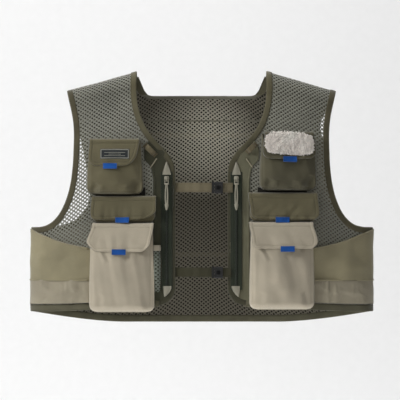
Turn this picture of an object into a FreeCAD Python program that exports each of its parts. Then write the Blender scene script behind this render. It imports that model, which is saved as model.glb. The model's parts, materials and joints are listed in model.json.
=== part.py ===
import FreeCAD, Part
import math
import os

from FreeCAD import Vector

# A mesh fishing vest with cargo pockets, hanging upright from the loop behind its neck.
# Frame: +Z up, +X to the right of somebody facing the vest, the front faces -Y.
# The origin is the middle of the hanger loop's opening. "left" is the -X side.
# All lengths are millimetres and all angles are degrees.

# ---- body of the garment -------------------------------------------------------------
HALF_WIDTH = 330.0        # side fold, from the middle
FOLD_POWER = 2.5          # how square the horizontal section is (2 is an ellipse)
CHEST_DEPTH = 60.0        # half of the garment's front to back depth below the chest
SHOULDER_DEPTH = 28.0     # half of the depth of the shoulder's arch
SHOULDER_RISE = 28.0      # height of the shoulder's arch
CHEST_DROP = 110.0        # below the arch, the depth grows to the chest's over this height
SHELL_Y = -56.0           # middle plane of the garment
NECKLINE_Z = 12.0         # back neckline
NECK_POINT_X = 125.5      # where the shoulder's crest meets the neck
NECK_POINT_Z = 58.7
SHOULDER_SLOPE = 0.276
SHOULDER_SEAM = 25.0      # the front panel wraps this far behind the crest

FABRIC = 1.6              # thickness of the stand-in for one mesh panel
OVERLAY = 1.2             # thickness of a fabric sewn on top of the mesh
LAYER_GAP = 0.3           # clear space left between two layers
BINDING_WIDTH = 10.0
BINDING_THICK = 3.0
HEM_WIDTH = 12.0

# ---- edges, as (x, z) on the +X half ---------------------------------------------------
FRONT_EDGE_X = 51.0
FRONT_NECK_EDGE = [(NECK_POINT_X, NECK_POINT_Z), (126.5, 32), (123, -9), (109.5, -47),
                   (91, -73), (65, -101), (54, -121), (FRONT_EDGE_X, -145)]
CORNER_RADIUS = 34.0      # rounded lower front corner
FRONT_HEM_Z = -392.0      # at the front corner
SIDE_HEM_Z = -404.0       # at the side fold
BACK_HEM_Z = -426.0       # at the middle of the back
BACK_HEM_LEVEL_X = 150.0  # the back hem is level up to here, then rises to the side fold
BACK_HEM_RISE = 1.6
UNDERARM_Z = -243.0
SHOULDER_POINT = (259.6, 21.7)
FRONT_ARMHOLE = [SHOULDER_POINT, (253.5, -5), (247.5, -35), (245.7, -86), (250.5, -153),
                 (263.8, -200), (280, -226), (300, -240), (318, UNDERARM_Z)]
BACK_ARMHOLES = {
    "left": [SHOULDER_POINT, (256.5, 3), (248.5, -24), (238, -58), (228, -100), (219, -150),
             (218, -190), (230, -216), (254, -234), (284, -242), (318, UNDERARM_Z)],
    "right": [SHOULDER_POINT, (256, 3), (244, -15), (233, -32), (229.5, -48), (232, -62),
              (239, -76), (243.5, -110), (247.5, -153), (260, -199), (276.5, -225),
              (298, -239), (318, UNDERARM_Z)],
}
BACK_NECK_EDGE = [(0, NECKLINE_Z), (50, NECKLINE_Z), (92, NECKLINE_Z), (104.5, NECKLINE_Z + 2.5),
                  (111.5, NECKLINE_Z + 11), (117, NECKLINE_Z + 24), (122.5, NECKLINE_Z + 37)]
CREST_SOFTENING = 30.0    # rounds the crest's height over the middle of the neck
YOKE_SEAM_Z = -36.0

# ---- side panels ----------------------------------------------------------------------
SIDE_PANEL_X = 219.0      # its edge beside the cargo pocket, front and back
SIDE_PANEL_TOP_Z = -279.0  # top edge at SIDE_PANEL_X
SIDE_SEAM_Z = -345.0      # seam between the panel and the lower band

# ---- pockets: side, centre x, top z, width, height, depth at the top and at the bottom,
# ---- flap centre x, flap width, flap length, tab centre x, flap corner radii (-X, +X)
POCKETS = {
    "left_chest": (-165.7, -75.0, 107, 102, 13, 30, -167.0, 97, 48, -176.2, 8, 20),
    "right_chest": (165.4, -61.5, 110, 110, 13, 30, 167.0, 101, 48, 167.9, 8, 8),
    "left_mid": (-149.7, -185.0, 122, 48, 11, 15, -149.7, 125, 38, -154.4, 5, 14),
    "right_mid": (157.0, -178.5, 130, 53, 11, 15, 157.0, 135, 47, 154.2, 8, 8),
    "left_cargo": (-152.7, -237.0, 125, 168, 18, 32, -155.4, 128, 51, -159.6, 12, 12),
    "right_cargo": (154.0, -235.0, 125, 165, 18, 32, 155.7, 130, 47, 163.3, 12, 12),
}
POCKET_WALL = 1.6
POCKET_CORNER = 9.0       # rounding of the pocket's front edges
POCKET_GAP = 1.1          # between the panel and the pocket's back
MOUTH_DROP = {"chest": 24.0, "mid": 18.0, "cargo": 26.0}
FLAP_THICK = 1.8
FLAP_GAP = 0.8            # between the pocket's front face and its flap
TAB_WIDTH = 26.0
TAB_HANG = 6.5            # how far a pull tab hangs below its flap
TAB_LAP = 3.5             # how much of it is sewn on the flap
TAB_THICK = 1.2
LABEL_SIZE = (55.0, 18.5)
LABEL_CENTRE = (-165.0, -25.0)   # x, and distance below the flap's top
FLEECE_SIZE = (91.0, 43.0)
FLEECE_THICK = 9.0

# ---- front zips -----------------------------------------------------------------------
ZIP_X = 67.0
ZIP_TOP_Z = -140.0
ZIP_BOTTOM_Z = -356.5
ZIP_TAPE_WIDTH = 22.0
SLIDER_DROP = 9.5         # the closed slider's middle is this far below the zip's top
COIL_WIDTH = 5.0
COIL_HIGH = 1.8
PLACKET_INNER_X = 62.4
PLACKET_OUTER_X = 88.0
GARAGE_SIZE = 20.0
SLIDER_SIZE = (9.0, 5.0, 11.0)   # across, outwards, along the zip
SLIDER_WALL = 1.5
PULL_LENGTH = 60.0
PULL_WIDTH = 5.0
PULL_THICK = 2.6

# ---- straps and buckles ----------------------------------------------------------------
WEBBING_WIDTH = 19.0
WEBBING_THICK = 1.5
UPPER_STRAP_Z = -166.0
LOWER_STRAP_Z = -329.0
STRAP_END_X = -92.0       # sewn end, behind the left front
STRAP_BEND_X = -44.0      # where the strap starts to bend forward to the buckle
STRAP_BEND = 38.0
BUCKLE_LEFT_X = 19.5
SOCKET_LEFT_X = 25.0
SOCKET_RIGHT_X = 41.0
BUCKLE_HIGH = 22.4
BUCKLE_THICK = 8.4
TONGUE_THICK = 2.4
BUCKLE_CLEAR = 0.35
SOCKET_WEB_END_X = 60.0

# ---- back ------------------------------------------------------------------------------
BACK_POCKET = (300.0, 232.0, 9.0)   # width, height, depth
BACK_POCKET_TOP_Z = -64.0
BACK_ZIP_HALF = 128.0
BACK_ZIP_DROP = 16.0
BACK_ZIP_TRAVEL = 225.0
LOOP_HALF = 24.0          # half of the hanger loop's opening
LOOP_REACH = 5.0          # the loop's inner face stands this far behind the origin
TAPE_WIDTH = 8.0
RING_BAR_Z = -37.0
RING_TAB_HIGH = 22.0
RING_TAB_GAP = 0.5
RING_WIDTH = 22.0
RING_WIRE = 1.5


def smooth(t):
    t = min(1.0, max(0.0, t))
    return t * t * (3 - 2 * t)


def fullness(x):
    """Depth of the horizontal section at x, as a share of its depth in the middle."""
    share = min(1.0, abs(x) / HALF_WIDTH)
    return (1 - share ** FOLD_POWER) ** (1 / FOLD_POWER)


def crest(x):
    """Height of the shoulder's crest, carried on over the neck."""
    return NECK_POINT_Z - SHOULDER_SLOPE * (math.hypot(x, CREST_SOFTENING) - NECK_POINT_X)


ARCH = SHOULDER_DEPTH * math.pi / 2    # length of one side of the shoulder's arch


def shell(x, s):
    """Point of the garment's skin. s is the way down from the crest, negative in front."""
    way = abs(s)
    side = -1 if s < 0 else 1
    if way < ARCH:
        turn = math.pi / 2 * way / ARCH
        drop = SHOULDER_RISE * (1 - math.cos(turn))
        depth = SHOULDER_DEPTH * math.sin(turn)
    else:
        drop = SHOULDER_RISE + way - ARCH
        growth = smooth((drop - SHOULDER_RISE) / CHEST_DROP)
        depth = SHOULDER_DEPTH + (CHEST_DEPTH - SHOULDER_DEPTH) * growth
    return Vector(x, SHELL_Y + side * fullness(x) * depth, crest(x) - drop)


def way_down(x, z, side):
    """The shell's s at height z, on the front (side -1) or the back (side 1)."""
    drop = crest(x) - z
    if drop < SHOULDER_RISE:
        turn = math.acos(1 - max(0.0, drop) / SHOULDER_RISE)
        return side * ARCH * turn / (math.pi / 2)
    return side * (ARCH + drop - SHOULDER_RISE)


def facing(x, z, side):
    return shell(x, way_down(x, z, side))


def wrap(angle, z):
    """Point of the skin below the chest. The angle is 0 at the +X fold, 90 in mid front."""
    x = HALF_WIDTH * math.cos(math.radians(angle))
    side = -1 if math.sin(math.radians(angle)) >= 0 else 1
    return facing(x, z, side)


def outward(surface, u, v, step=0.02):
    """Unit normal of surface(u, v), pointing away from the inside of the garment."""
    along_u = surface(u + step, v) - surface(u - step, v)
    along_v = surface(u, v + step) - surface(u, v - step)
    normal = along_u.cross(along_v)
    normal.normalize()
    point = surface(u, v)
    inside = Vector(0.9 * point.x, SHELL_Y, point.z - 30)
    if normal.dot(point - inside) < 0:
        normal = normal * -1
    return normal


def spread(first, last, count):
    return [first + (last - first) * i / (count - 1) for i in range(count)]


def solid_between(inner_grid, outer_grid):
    """Closed solid between two grids of points."""
    low = Part.BSplineSurface()
    low.interpolate(inner_grid)
    high = Part.BSplineSurface()
    high.interpolate(outer_grid)
    u0, u1, v0, v1 = low.bounds()
    p0, p1, q0, q1 = high.bounds()
    faces = [low.toShape(), high.toShape()]
    faces.append(Part.makeRuledSurface(low.uIso(u0).toShape(), high.uIso(p0).toShape()))
    faces.append(Part.makeRuledSurface(low.uIso(u1).toShape(), high.uIso(p1).toShape()))
    faces.append(Part.makeRuledSurface(low.vIso(v0).toShape(), high.vIso(q0).toShape()))
    faces.append(Part.makeRuledSurface(low.vIso(v1).toShape(), high.vIso(q1).toShape()))
    hull = Part.makeShell(faces)
    hull.sewShape()
    body = Part.makeSolid(hull)
    if body.Volume < 0:
        body.reverse()
    return body


def sheet(surface, us, vs, inner, outer):
    """Curved sheet on surface(u, v), from inner to outer millimetres off it."""
    low = []
    high = []
    for u in us:
        points = [surface(u, v) for v in vs]
        normals = [outward(surface, u, v) for v in vs]
        low.append([p + n * inner for p, n in zip(points, normals)])
        high.append([p + n * outer for p, n in zip(points, normals)])
    return solid_between(low, high)


def strip(path, width, inner, outer):
    """Tape along a path of (point, normal) pairs, lying flat on the garment."""
    low = []
    high = []
    last = len(path) - 1
    for i, (point, normal) in enumerate(path):
        along = path[min(i + 1, last)][0] - path[max(i - 1, 0)][0]
        across = normal.cross(along)
        across.normalize()
        marks = [point + across * (width * k / 2) for k in (-1, 0, 1)]
        low.append([m + normal * inner for m in marks])
        high.append([m + normal * outer for m in marks])
    return solid_between(low, high)


def smooth_line(points, spacing):
    """Evenly spaced (x, z) points on a smooth curve through the given ones."""
    curve = Part.BSplineCurve()
    curve.interpolate([Vector(x, 0, z) for x, z in points])
    length = curve.length()
    count = max(3, int(length / spacing) + 1)
    marks = [curve.value(curve.parameterAtDistance(d)) for d in spread(0.01, length - 0.01, count)]
    return [(m.x, m.z) for m in marks]


def shifted(line, amount):
    """The (x, z) line moved sideways, to the left of its direction."""
    moved = []
    last = len(line) - 1
    for i, (x, z) in enumerate(line):
        dx = line[min(i + 1, last)][0] - line[max(i - 1, 0)][0]
        dz = line[min(i + 1, last)][1] - line[max(i - 1, 0)][1]
        size = math.hypot(dx, dz)
        moved.append((x - dz / size * amount, z + dx / size * amount))
    return moved


def prism(outline):
    """Solid as deep as the garment, with the closed (x, z) outline."""
    points = [Vector(x, -400, z) for x, z in outline]
    wire = Part.makePolygon(points + points[:1])
    return Part.Face(wire).extrude(Vector(0, 800, 0))


def mirrored(shape):
    return shape.mirror(Vector(0, 0, 0), Vector(1, 0, 0))


def box(x0, x1, y0, y1, z0, z1):
    return Part.makeBox(x1 - x0, y1 - y0, z1 - z0, Vector(x0, y0, z0))


def on_shell(line, side):
    """Path on the front or the back skin through the (x, z) points of a line."""
    path = []
    for x, z in line:
        s = way_down(x, z, side)
        path.append((shell(x, s), outward(shell, x, s)))
    return path


# ---- edge lines ------------------------------------------------------------------------

def hem_height(x, side):
    """Height of the garment's lower edge."""
    if side < 0:
        return FRONT_HEM_Z + (SIDE_HEM_Z - FRONT_HEM_Z) * smooth(abs(x) / HALF_WIDTH)
    past = max(0.0, abs(x) - BACK_HEM_LEVEL_X) / (HALF_WIDTH - BACK_HEM_LEVEL_X)
    return BACK_HEM_Z + (SIDE_HEM_Z - BACK_HEM_Z) * min(1.0, past) ** BACK_HEM_RISE


def front_edge_line():
    """Neck, front edge, rounded corner, down to where the hem binding starts."""
    neck = smooth_line(FRONT_NECK_EDGE, 7)
    centre = (FRONT_EDGE_X + CORNER_RADIUS, FRONT_HEM_Z + CORNER_RADIUS)
    straight = [(FRONT_EDGE_X, z) for z in spread(FRONT_NECK_EDGE[-1][1] - 8, centre[1] + 8, 22)]
    arc = []
    for turn in spread(0, 90, 9):
        angle = math.radians(180 + turn)
        arc.append((centre[0] + CORNER_RADIUS * math.cos(angle),
                    centre[1] + CORNER_RADIUS * math.sin(angle)))
    return neck + straight + arc


HEM_START_X = FRONT_EDGE_X + CORNER_RADIUS
FRONT_LINE = front_edge_line()
FRONT_ARM_LINE = smooth_line(FRONT_ARMHOLE, 8)
BACK_ARM_LINES = {side: smooth_line(line, 8) for side, line in BACK_ARMHOLES.items()}
INSET = BINDING_WIDTH + 0.8


def front_panel():
    """Right front: mesh from the hem over the crest to the seam behind the shoulder."""
    us = [HALF_WIDTH * math.cos(math.radians(a)) for a in spread(1.2, 83, 26)]
    vs = [SHOULDER_SEAM, 12, 0, -12, -24, -36, -ARCH] + spread(-60, -500, 23)
    skin = sheet(shell, us, vs, 0, FABRIC)
    edge = shifted(FRONT_LINE, INSET)
    hem = [(x, hem_height(x, -1) + HEM_WIDTH + 0.4) for x in spread(HEM_START_X + 14, 360, 12)]
    arm = shifted(FRONT_ARM_LINE, -INSET)
    arm = [p for p in arm if p[0] < 316]
    outline = [(edge[0][0], 120)] + edge[:-2] + hem
    outline += [(360, UNDERARM_Z - INSET)] + arm[::-1] + [(arm[0][0], 120)]
    return skin.common(prism(outline))


def back_skin(z_low, z_high, gap_top):
    """Back mesh between two heights, cut to the armholes and the hem."""
    us = [HALF_WIDTH * math.cos(math.radians(a)) for a in spread(-178.8, -1.2, 48)]
    vs = [SHOULDER_SEAM + 0.6, 34, ARCH] + spread(58, 530, 24)
    skin = sheet(shell, us, vs, 0, FABRIC)
    hem = [(x, hem_height(x, 1) + HEM_WIDTH + 0.4) for x in [360] + spread(HALF_WIDTH, 0, 34)]
    halves = {}
    for side, line in BACK_ARM_LINES.items():
        arm = [p for p in shifted(line, -INSET) if p[0] < 316]
        halves[side] = [(arm[0][0], 120)] + arm + [(360, UNDERARM_Z - INSET)] + hem
    left = [(-x, z) for x, z in halves["left"][::-1][1:]]
    skin = skin.common(prism(halves["right"] + left))
    skin = skin.common(box(-360, 360, -400, 400, z_low, z_high))
    return skin.cut(gap_top) if gap_top else skin


def back_neck_line():
    """Back neckline from shoulder to shoulder."""
    other_half = [(-x, z) for x, z in BACK_NECK_EDGE[::-1][:-1]]
    return smooth_line(other_half + BACK_NECK_EDGE, 6)


def neck_cutter():
    """The back neck opening with its binding's width, as a prism."""
    line = shifted(back_neck_line(), -INSET)
    reach = NECK_POINT_X + INSET
    outline = [(-reach, 130), (-reach, NECK_POINT_Z)] + line
    return prism(outline + [(reach, NECK_POINT_Z), (reach, 130)])


def back_neck_binding():
    line = shifted(back_neck_line(), -BINDING_WIDTH / 2)
    return strip(on_shell(line, 1), BINDING_WIDTH, *binding_span())


def binding_span():
    """How far a binding stands inside and outside the skin."""
    spare = (BINDING_THICK - FABRIC) / 2
    return -spare, FABRIC + spare


def front_binding():
    line = shifted(FRONT_LINE, BINDING_WIDTH / 2)
    behind = []
    start_x = line[0][0]
    for s in spread(SHOULDER_SEAM, 6, 4):
        behind.append((shell(start_x, s), outward(shell, start_x, s)))
    return strip(behind + on_shell(line, -1), BINDING_WIDTH, *binding_span())


def armhole_binding(back_line):
    """One tape round a whole armhole, from under the arm over the shoulder and back."""
    def turned(angle, z):
        return wrap(angle, z), outward(wrap, angle, z)

    low_z = UNDERARM_Z - BINDING_WIDTH / 2
    front = shifted(FRONT_ARM_LINE, -BINDING_WIDTH / 2)
    back = shifted(back_line, -BINDING_WIDTH / 2)
    front = [p for p in front if p[0] < 306]
    back = [p for p in back if p[0] < 306]
    path = [turned(a, low_z) for a in spread(0.6, 19, 8)]
    path += on_shell(front[::-1], -1)
    path += on_shell(back[1:], 1)
    path += [turned(a, low_z) for a in spread(-19, -0.6, 8)]
    return strip(path, BINDING_WIDTH, *binding_span())


def hem_binding():
    """One tape round the lower edge, from one front corner to the other."""
    first = math.degrees(math.acos((HEM_START_X + 0.6) / HALF_WIDTH))
    path = []
    for angle in spread(first, -180 - first, 90):
        x = HALF_WIDTH * math.cos(math.radians(angle))
        side = -1 if math.sin(math.radians(angle)) > 0 else 1
        z = hem_height(x, side) + HEM_WIDTH / 2
        path.append((wrap(angle, z), outward(wrap, angle, z)))
    return strip(path, HEM_WIDTH, *binding_span())


def side_panel(z_top_edge, z_top_fold, z_low):
    """Fabric sewn over the mesh round the right side fold, with a slanted top edge."""
    angle = math.degrees(math.acos(SIDE_PANEL_X / HALF_WIDTH))
    start = FABRIC + LAYER_GAP
    angles = spread(-angle, angle, 25)
    skin = sheet(wrap, angles, spread(z_low, UNDERARM_Z, 8), start, start + OVERLAY)
    reach = HALF_WIDTH + 40
    cut = [(SIDE_PANEL_X - 30, z_top_edge), (SIDE_PANEL_X, z_top_edge),
           (HALF_WIDTH, z_top_fold), (reach, z_top_fold), (reach, z_low), (SIDE_PANEL_X - 30, z_low)]
    return skin.common(prism(cut))


# ---- pockets ---------------------------------------------------------------------------

def pocket_frame(name):
    """Placement of a pocket: its own -Y points outwards, its origin is its top middle."""
    x, z = POCKETS[name][0], POCKETS[name][1]
    here = facing(x, z - 60, -1)
    ahead = facing(x + 1, z - 60, -1)
    before = facing(x - 1, z - 60, -1)
    turn = math.degrees(math.atan2(ahead.y - before.y, 2))
    normal = Vector(math.sin(math.radians(turn)), -math.cos(math.radians(turn)), 0)
    spot = Vector(x, here.y, z) + normal * (FABRIC + POCKET_GAP)
    return FreeCAD.Placement(spot, FreeCAD.Rotation(Vector(0, 0, 1), turn))


def placed(shape, frame):
    shape = shape.copy()
    shape.Placement = frame.multiply(shape.Placement)
    return shape


def pouch(width, height, top_depth, bottom_depth, corner):
    """Solid of a pocket's outside, hanging below z 0 and standing out towards -Y."""
    points = [Vector(-width / 2, 0, 0), Vector(-width / 2, -top_depth, 0),
              Vector(-width / 2, -bottom_depth, -height), Vector(-width / 2, 0, -height)]
    body = Part.Face(Part.makePolygon(points + points[:1])).extrude(Vector(width, 0, 0))
    chosen = []
    for edge in body.Edges:
        middle = edge.CenterOfMass
        front_side = abs(abs(middle.x) - width / 2) < 0.01 and middle.y < -top_depth + 0.01
        bottom_front = abs(middle.z + height) < 0.01 and abs(middle.y + bottom_depth) < 0.01
        if (front_side and -height < middle.z < -1) or bottom_front:
            chosen.append(edge)
    return body.makeFillet(corner, chosen)


def pocket_body(name):
    """Hollow pocket. Its mouth faces forward, under the flap."""
    x, _, width, height, top_depth, bottom_depth = POCKETS[name][:6]
    flap_x, flap_width = POCKETS[name][6:8]
    corner = min(POCKET_CORNER, top_depth - 3)
    wall = POCKET_WALL
    outside = pouch(width, height, top_depth, bottom_depth, corner)
    inside = pouch(width - 2 * wall, height - 2 * wall, top_depth - 2 * wall,
                   bottom_depth - 2 * wall, corner - wall)
    inside.translate(Vector(0, -wall, -wall))
    half_mouth = min(width / 2 - corner, flap_width / 2 - 6)
    drop = MOUTH_DROP[name.split("_")[1]]
    mouth = box(flap_x - x - half_mouth, flap_x - x + half_mouth, -bottom_depth - 5,
                -wall - 1, -drop, -wall)
    return placed(outside.cut(inside).cut(mouth), pocket_frame(name))


def hinge_line(name):
    """The flap's turning line in the pocket's frame: y and z."""
    return -POCKETS[name][4] - FLAP_GAP - FLAP_THICK / 2, -FLAP_THICK / 2


def face_slope(name):
    """Tilt of the pocket's front face, from plumb."""
    height, top_depth, bottom_depth = POCKETS[name][3:6]
    return math.degrees(math.atan2(bottom_depth - top_depth, height))


def rounded_plate(x0, x1, length, thick, left_radius, right_radius):
    """Plate below z 0, centred on y 0, with rounded lower corners."""
    a, b = left_radius, right_radius
    half_arc = math.sqrt(0.5)
    edges = [Part.LineSegment(Vector(x0, 0, 0), Vector(x1, 0, 0)),
             Part.LineSegment(Vector(x1, 0, 0), Vector(x1, 0, b - length)),
             Part.Arc(Vector(x1, 0, b - length),
                      Vector(x1 - b + b * half_arc, 0, b - length - b * half_arc),
                      Vector(x1 - b, 0, -length)),
             Part.LineSegment(Vector(x1 - b, 0, -length), Vector(x0 + a, 0, -length)),
             Part.Arc(Vector(x0 + a, 0, -length),
                      Vector(x0 + a - a * half_arc, 0, a - length - a * half_arc),
                      Vector(x0, 0, a - length)),
             Part.LineSegment(Vector(x0, 0, a - length), Vector(x0, 0, 0))]
    face = Part.Face(Part.Wire([e.toShape() for e in edges]))
    plate = face.extrude(Vector(0, thick, 0))
    plate.translate(Vector(0, -thick / 2, 0))
    return plate


def on_flap(shape, name):
    """Lean a piece drawn on a plumb flap onto the real one, and put it on the vest."""
    y, z = hinge_line(name)
    shape = shape.copy()
    shape.rotate(Vector(0, 0, 0), Vector(1, 0, 0), -face_slope(name))
    shape.translate(Vector(0, y, z))
    return placed(shape, pocket_frame(name))


def flap(name):
    x = POCKETS[name][0]
    flap_x, width, length = POCKETS[name][6:9]
    left_radius, right_radius = POCKETS[name][10:12]
    middle = flap_x - x
    plate = rounded_plate(middle - width / 2, middle + width / 2, length, FLAP_THICK,
                          left_radius, right_radius)
    return on_flap(plate, name)


def pull_tab(name):
    x, length, tab_x = POCKETS[name][0], POCKETS[name][8], POCKETS[name][9]
    tab = rounded_plate(tab_x - x - TAB_WIDTH / 2, tab_x - x + TAB_WIDTH / 2,
                        TAB_LAP + TAB_HANG, TAB_THICK, 2, 2)
    tab.translate(Vector(0, -(FLAP_THICK + TAB_THICK) / 2 - 0.05, TAB_LAP - length))
    return on_flap(tab, name)


def flap_patch(name, centre_x, centre_drop, size, thick, radius):
    """Patch sewn on a flap's outside."""
    middle = centre_x - POCKETS[name][0]
    patch = rounded_plate(middle - size[0] / 2, middle + size[0] / 2, size[1] - radius,
                          thick, radius, radius)
    top = rounded_plate(middle - size[0] / 2, middle + size[0] / 2, radius, thick,
                        radius * 0.99, radius * 0.99)
    top.rotate(Vector(middle, 0, 0), Vector(0, 1, 0), 180)
    patch = patch.fuse(top).removeSplitter()
    patch.translate(Vector(0, -(FLAP_THICK + thick) / 2 - 0.05, size[1] / 2 - radius + centre_drop))
    return on_flap(patch, name)


# ---- zips ------------------------------------------------------------------------------

def front_layer(x0, x1, z0, z1, start, thick):
    """Flat layer on the right front, start millimetres off the skin."""
    def surface(x, z):
        return facing(x, z, -1)
    return sheet(surface, spread(x0, x1, 5), spread(z0, z1, 16), start, start + thick)


PLACKET_START = FABRIC + LAYER_GAP
TAPE_START = PLACKET_START + OVERLAY + 0.1
COIL_START = TAPE_START + 0.8 + 0.05


def zip_tape():
    """Tape with its coil, as two touching solids."""
    half = ZIP_TAPE_WIDTH / 2
    tape = front_layer(ZIP_X - half, ZIP_X + half, ZIP_BOTTOM_Z, ZIP_TOP_Z, TAPE_START, 0.8)
    coil = front_layer(ZIP_X - COIL_WIDTH / 2, ZIP_X + COIL_WIDTH / 2, ZIP_BOTTOM_Z + 1,
                       ZIP_TOP_Z - 1, COIL_START, COIL_HIGH)
    return Part.makeCompound([tape, coil])


def garage(z_flat, up):
    """Small cover over a zip's end, a rounded triangle."""
    half = GARAGE_SIZE / 2 - 1
    skin = front_layer(ZIP_X - half, ZIP_X + half, z_flat - 26, z_flat + 26, TAPE_START, 1.6)
    tip = GARAGE_SIZE * 1.15 * up
    outline = [(ZIP_X - half - 5, z_flat), (ZIP_X + half + 5, z_flat), (ZIP_X + 2, z_flat + tip),
               (ZIP_X - 2, z_flat + tip)]
    return skin.common(prism(outline))


def slider_spot(x, z):
    """Middle of a zip's coil surface and the outward height of its top."""
    return facing(x, z, -1).y - COIL_START - COIL_HIGH


def slider(width, thick, length):
    """Slider cap over a coil, open to the tape. z 0 is its middle, y 0 the coil's top."""
    gap = BUCKLE_CLEAR
    cap = box(-width / 2, width / 2, -gap - SLIDER_WALL, COIL_HIGH - 0.5, -length / 2, length / 2)
    channel = box(-COIL_WIDTH / 2 - gap, COIL_WIDTH / 2 + gap, -gap, COIL_HIGH + 1,
                  -length, length)
    cap = cap.makeFillet(1.4, [e for e in cap.Edges if e.BoundBox.XLength < 0.01
                               and e.BoundBox.ZLength < 0.01])
    bridge = box(-1.6, 1.6, -thick - gap, -gap - SLIDER_WALL, -length / 2 + 1, length / 2 - 1)
    eye = box(-3, 3, -thick - gap + 1.1, -gap - SLIDER_WALL, -length / 2 + 2.2, length / 2 - 2.2)
    return cap.cut(channel).fuse(bridge.cut(eye))


BRIDGE_REACH = SLIDER_SIZE[1] + BUCKLE_CLEAR
PULL_AXIS_Y = -(BRIDGE_REACH - 1.1 - 1.0)    # the ring's wire lies in the bridge's eye


def pull(length):
    """Moulded pull hanging from the slider's bridge: ring, slotted rod and round end."""
    bar = Part.makeCylinder(0.65, 8.6, Vector(-4.3, 0, 0), Vector(1, 0, 0))
    legs = [box(side * 3.9 - 0.6, side * 3.9 + 0.6, -1.2, 0.6, -10, 0.5) for side in (-1, 1)]
    head = box(-4.5, 4.5, -3.1, -0.5, -13, -9)
    rod = box(-PULL_WIDTH / 2, PULL_WIDTH / 2, -3.1, -0.5, -length + 5, -12)
    slot = box(-0.9, 0.9, -5, 2, -length + 24, -18)
    knob = Part.makeCylinder(4.2, PULL_THICK, Vector(0, -3.1, -length + 5), Vector(0, 1, 0))
    shape = bar.multiFuse(legs + [head, rod, knob]).cut(slot)
    return shape.removeSplitter()


# ---- straps ----------------------------------------------------------------------------

STRAP_BACK_Y = facing(FRONT_EDGE_X, UPPER_STRAP_Z, -1).y + 2.4
BUCKLE_Y = facing(FRONT_EDGE_X, UPPER_STRAP_Z, -1).y - PLACKET_START - OVERLAY - 2.4
WEB_IN_PLUG_Y = BUCKLE_Y + TONGUE_THICK / 2 + BUCKLE_CLEAR


def strap(z):
    """Webbing from behind the left front, bending forward to the plug's loop."""
    points = []
    for x in spread(STRAP_END_X, BUCKLE_LEFT_X + 4.6, 26):
        share = smooth((x - STRAP_BEND_X) / STRAP_BEND)
        points.append((x, STRAP_BACK_Y + (WEB_IN_PLUG_Y - STRAP_BACK_Y) * share))
    path = []
    for i, (x, y) in enumerate(points):
        before = points[max(i - 1, 0)]
        after = points[min(i + 1, len(points) - 1)]
        lean = Vector(after[1] - before[1], -(after[0] - before[0]), 0)
        lean.normalize()
        path.append((Vector(x, y, z), lean))
    return strip(path, WEBBING_WIDTH, -WEBBING_THICK, 0)


def plug(z):
    """Plug with two prongs and a loop that the webbing runs through."""
    high = BUCKLE_HIGH / 2
    half_tongue = TONGUE_THICK / 2
    collar = box(BUCKLE_LEFT_X, SOCKET_LEFT_X - 0.4, BUCKLE_Y - half_tongue,
                 BUCKLE_Y + half_tongue, -high, high)
    back_y = WEB_IN_PLUG_Y + WEBBING_THICK + BUCKLE_CLEAR
    posts = []
    for side in (-1, 1):
        near = side * (WEBBING_WIDTH / 2 + BUCKLE_CLEAR)
        far = side * high
        posts.append(box(BUCKLE_LEFT_X, BUCKLE_LEFT_X + 4, BUCKLE_Y, back_y + 1.4,
                         min(near, far), max(near, far)))
    bar = box(BUCKLE_LEFT_X, BUCKLE_LEFT_X + 4, back_y, back_y + 1.4, -high, high)
    prongs = []
    for side in (-1, 1):
        prong = box(SOCKET_LEFT_X - 1, SOCKET_RIGHT_X - 4.5, BUCKLE_Y - half_tongue,
                    BUCKLE_Y + half_tongue, side * 6.2 - 1.7, side * 6.2 + 1.7)
        prongs.append(prong)
    guide = box(SOCKET_LEFT_X - 1, SOCKET_RIGHT_X - 7, BUCKLE_Y - half_tongue,
                BUCKLE_Y + half_tongue, -1.4, 1.4)
    shape = collar.multiFuse(posts + [bar, guide] + prongs).removeSplitter()
    shape.translate(Vector(0, 0, z))
    return shape


def socket(z):
    """Socket that the plug's prongs enter, with windows over them and a webbing slot."""
    high = BUCKLE_HIGH / 2
    body = box(SOCKET_LEFT_X, SOCKET_RIGHT_X, BUCKLE_Y - BUCKLE_THICK / 2,
               BUCKLE_Y + TONGUE_THICK / 2 + BUCKLE_CLEAR + 1.2, -high, high)
    long_edges = [e for e in body.Edges if e.BoundBox.XLength > 1 and e.CenterOfMass.y < BUCKLE_Y]
    body = body.makeFillet(2.2, long_edges)
    room = TONGUE_THICK / 2 + BUCKLE_CLEAR
    cavity = box(SOCKET_LEFT_X - 1, SOCKET_RIGHT_X - 3.6, BUCKLE_Y - room, BUCKLE_Y + room,
                 -6.2 - 1.7 - BUCKLE_CLEAR, 6.2 + 1.7 + BUCKLE_CLEAR)
    window = box(SOCKET_LEFT_X + 4, SOCKET_RIGHT_X - 4.5, BUCKLE_Y - BUCKLE_THICK,
                 BUCKLE_Y, -3.4, 3.4)
    shape = body.cut(cavity).cut(window)
    shape.translate(Vector(0, 0, z))
    return shape


def socket_web(z):
    """Short webbing sewn on the right placket, ending at the socket."""
    y = facing(FRONT_EDGE_X, z, -1).y - PLACKET_START - OVERLAY - 1.3
    half = WEBBING_WIDTH / 2
    return box(SOCKET_RIGHT_X + 0.05, SOCKET_WEB_END_X, y - WEBBING_THICK, y, z - half, z + half)


# ---- small pieces ----------------------------------------------------------------------

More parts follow.
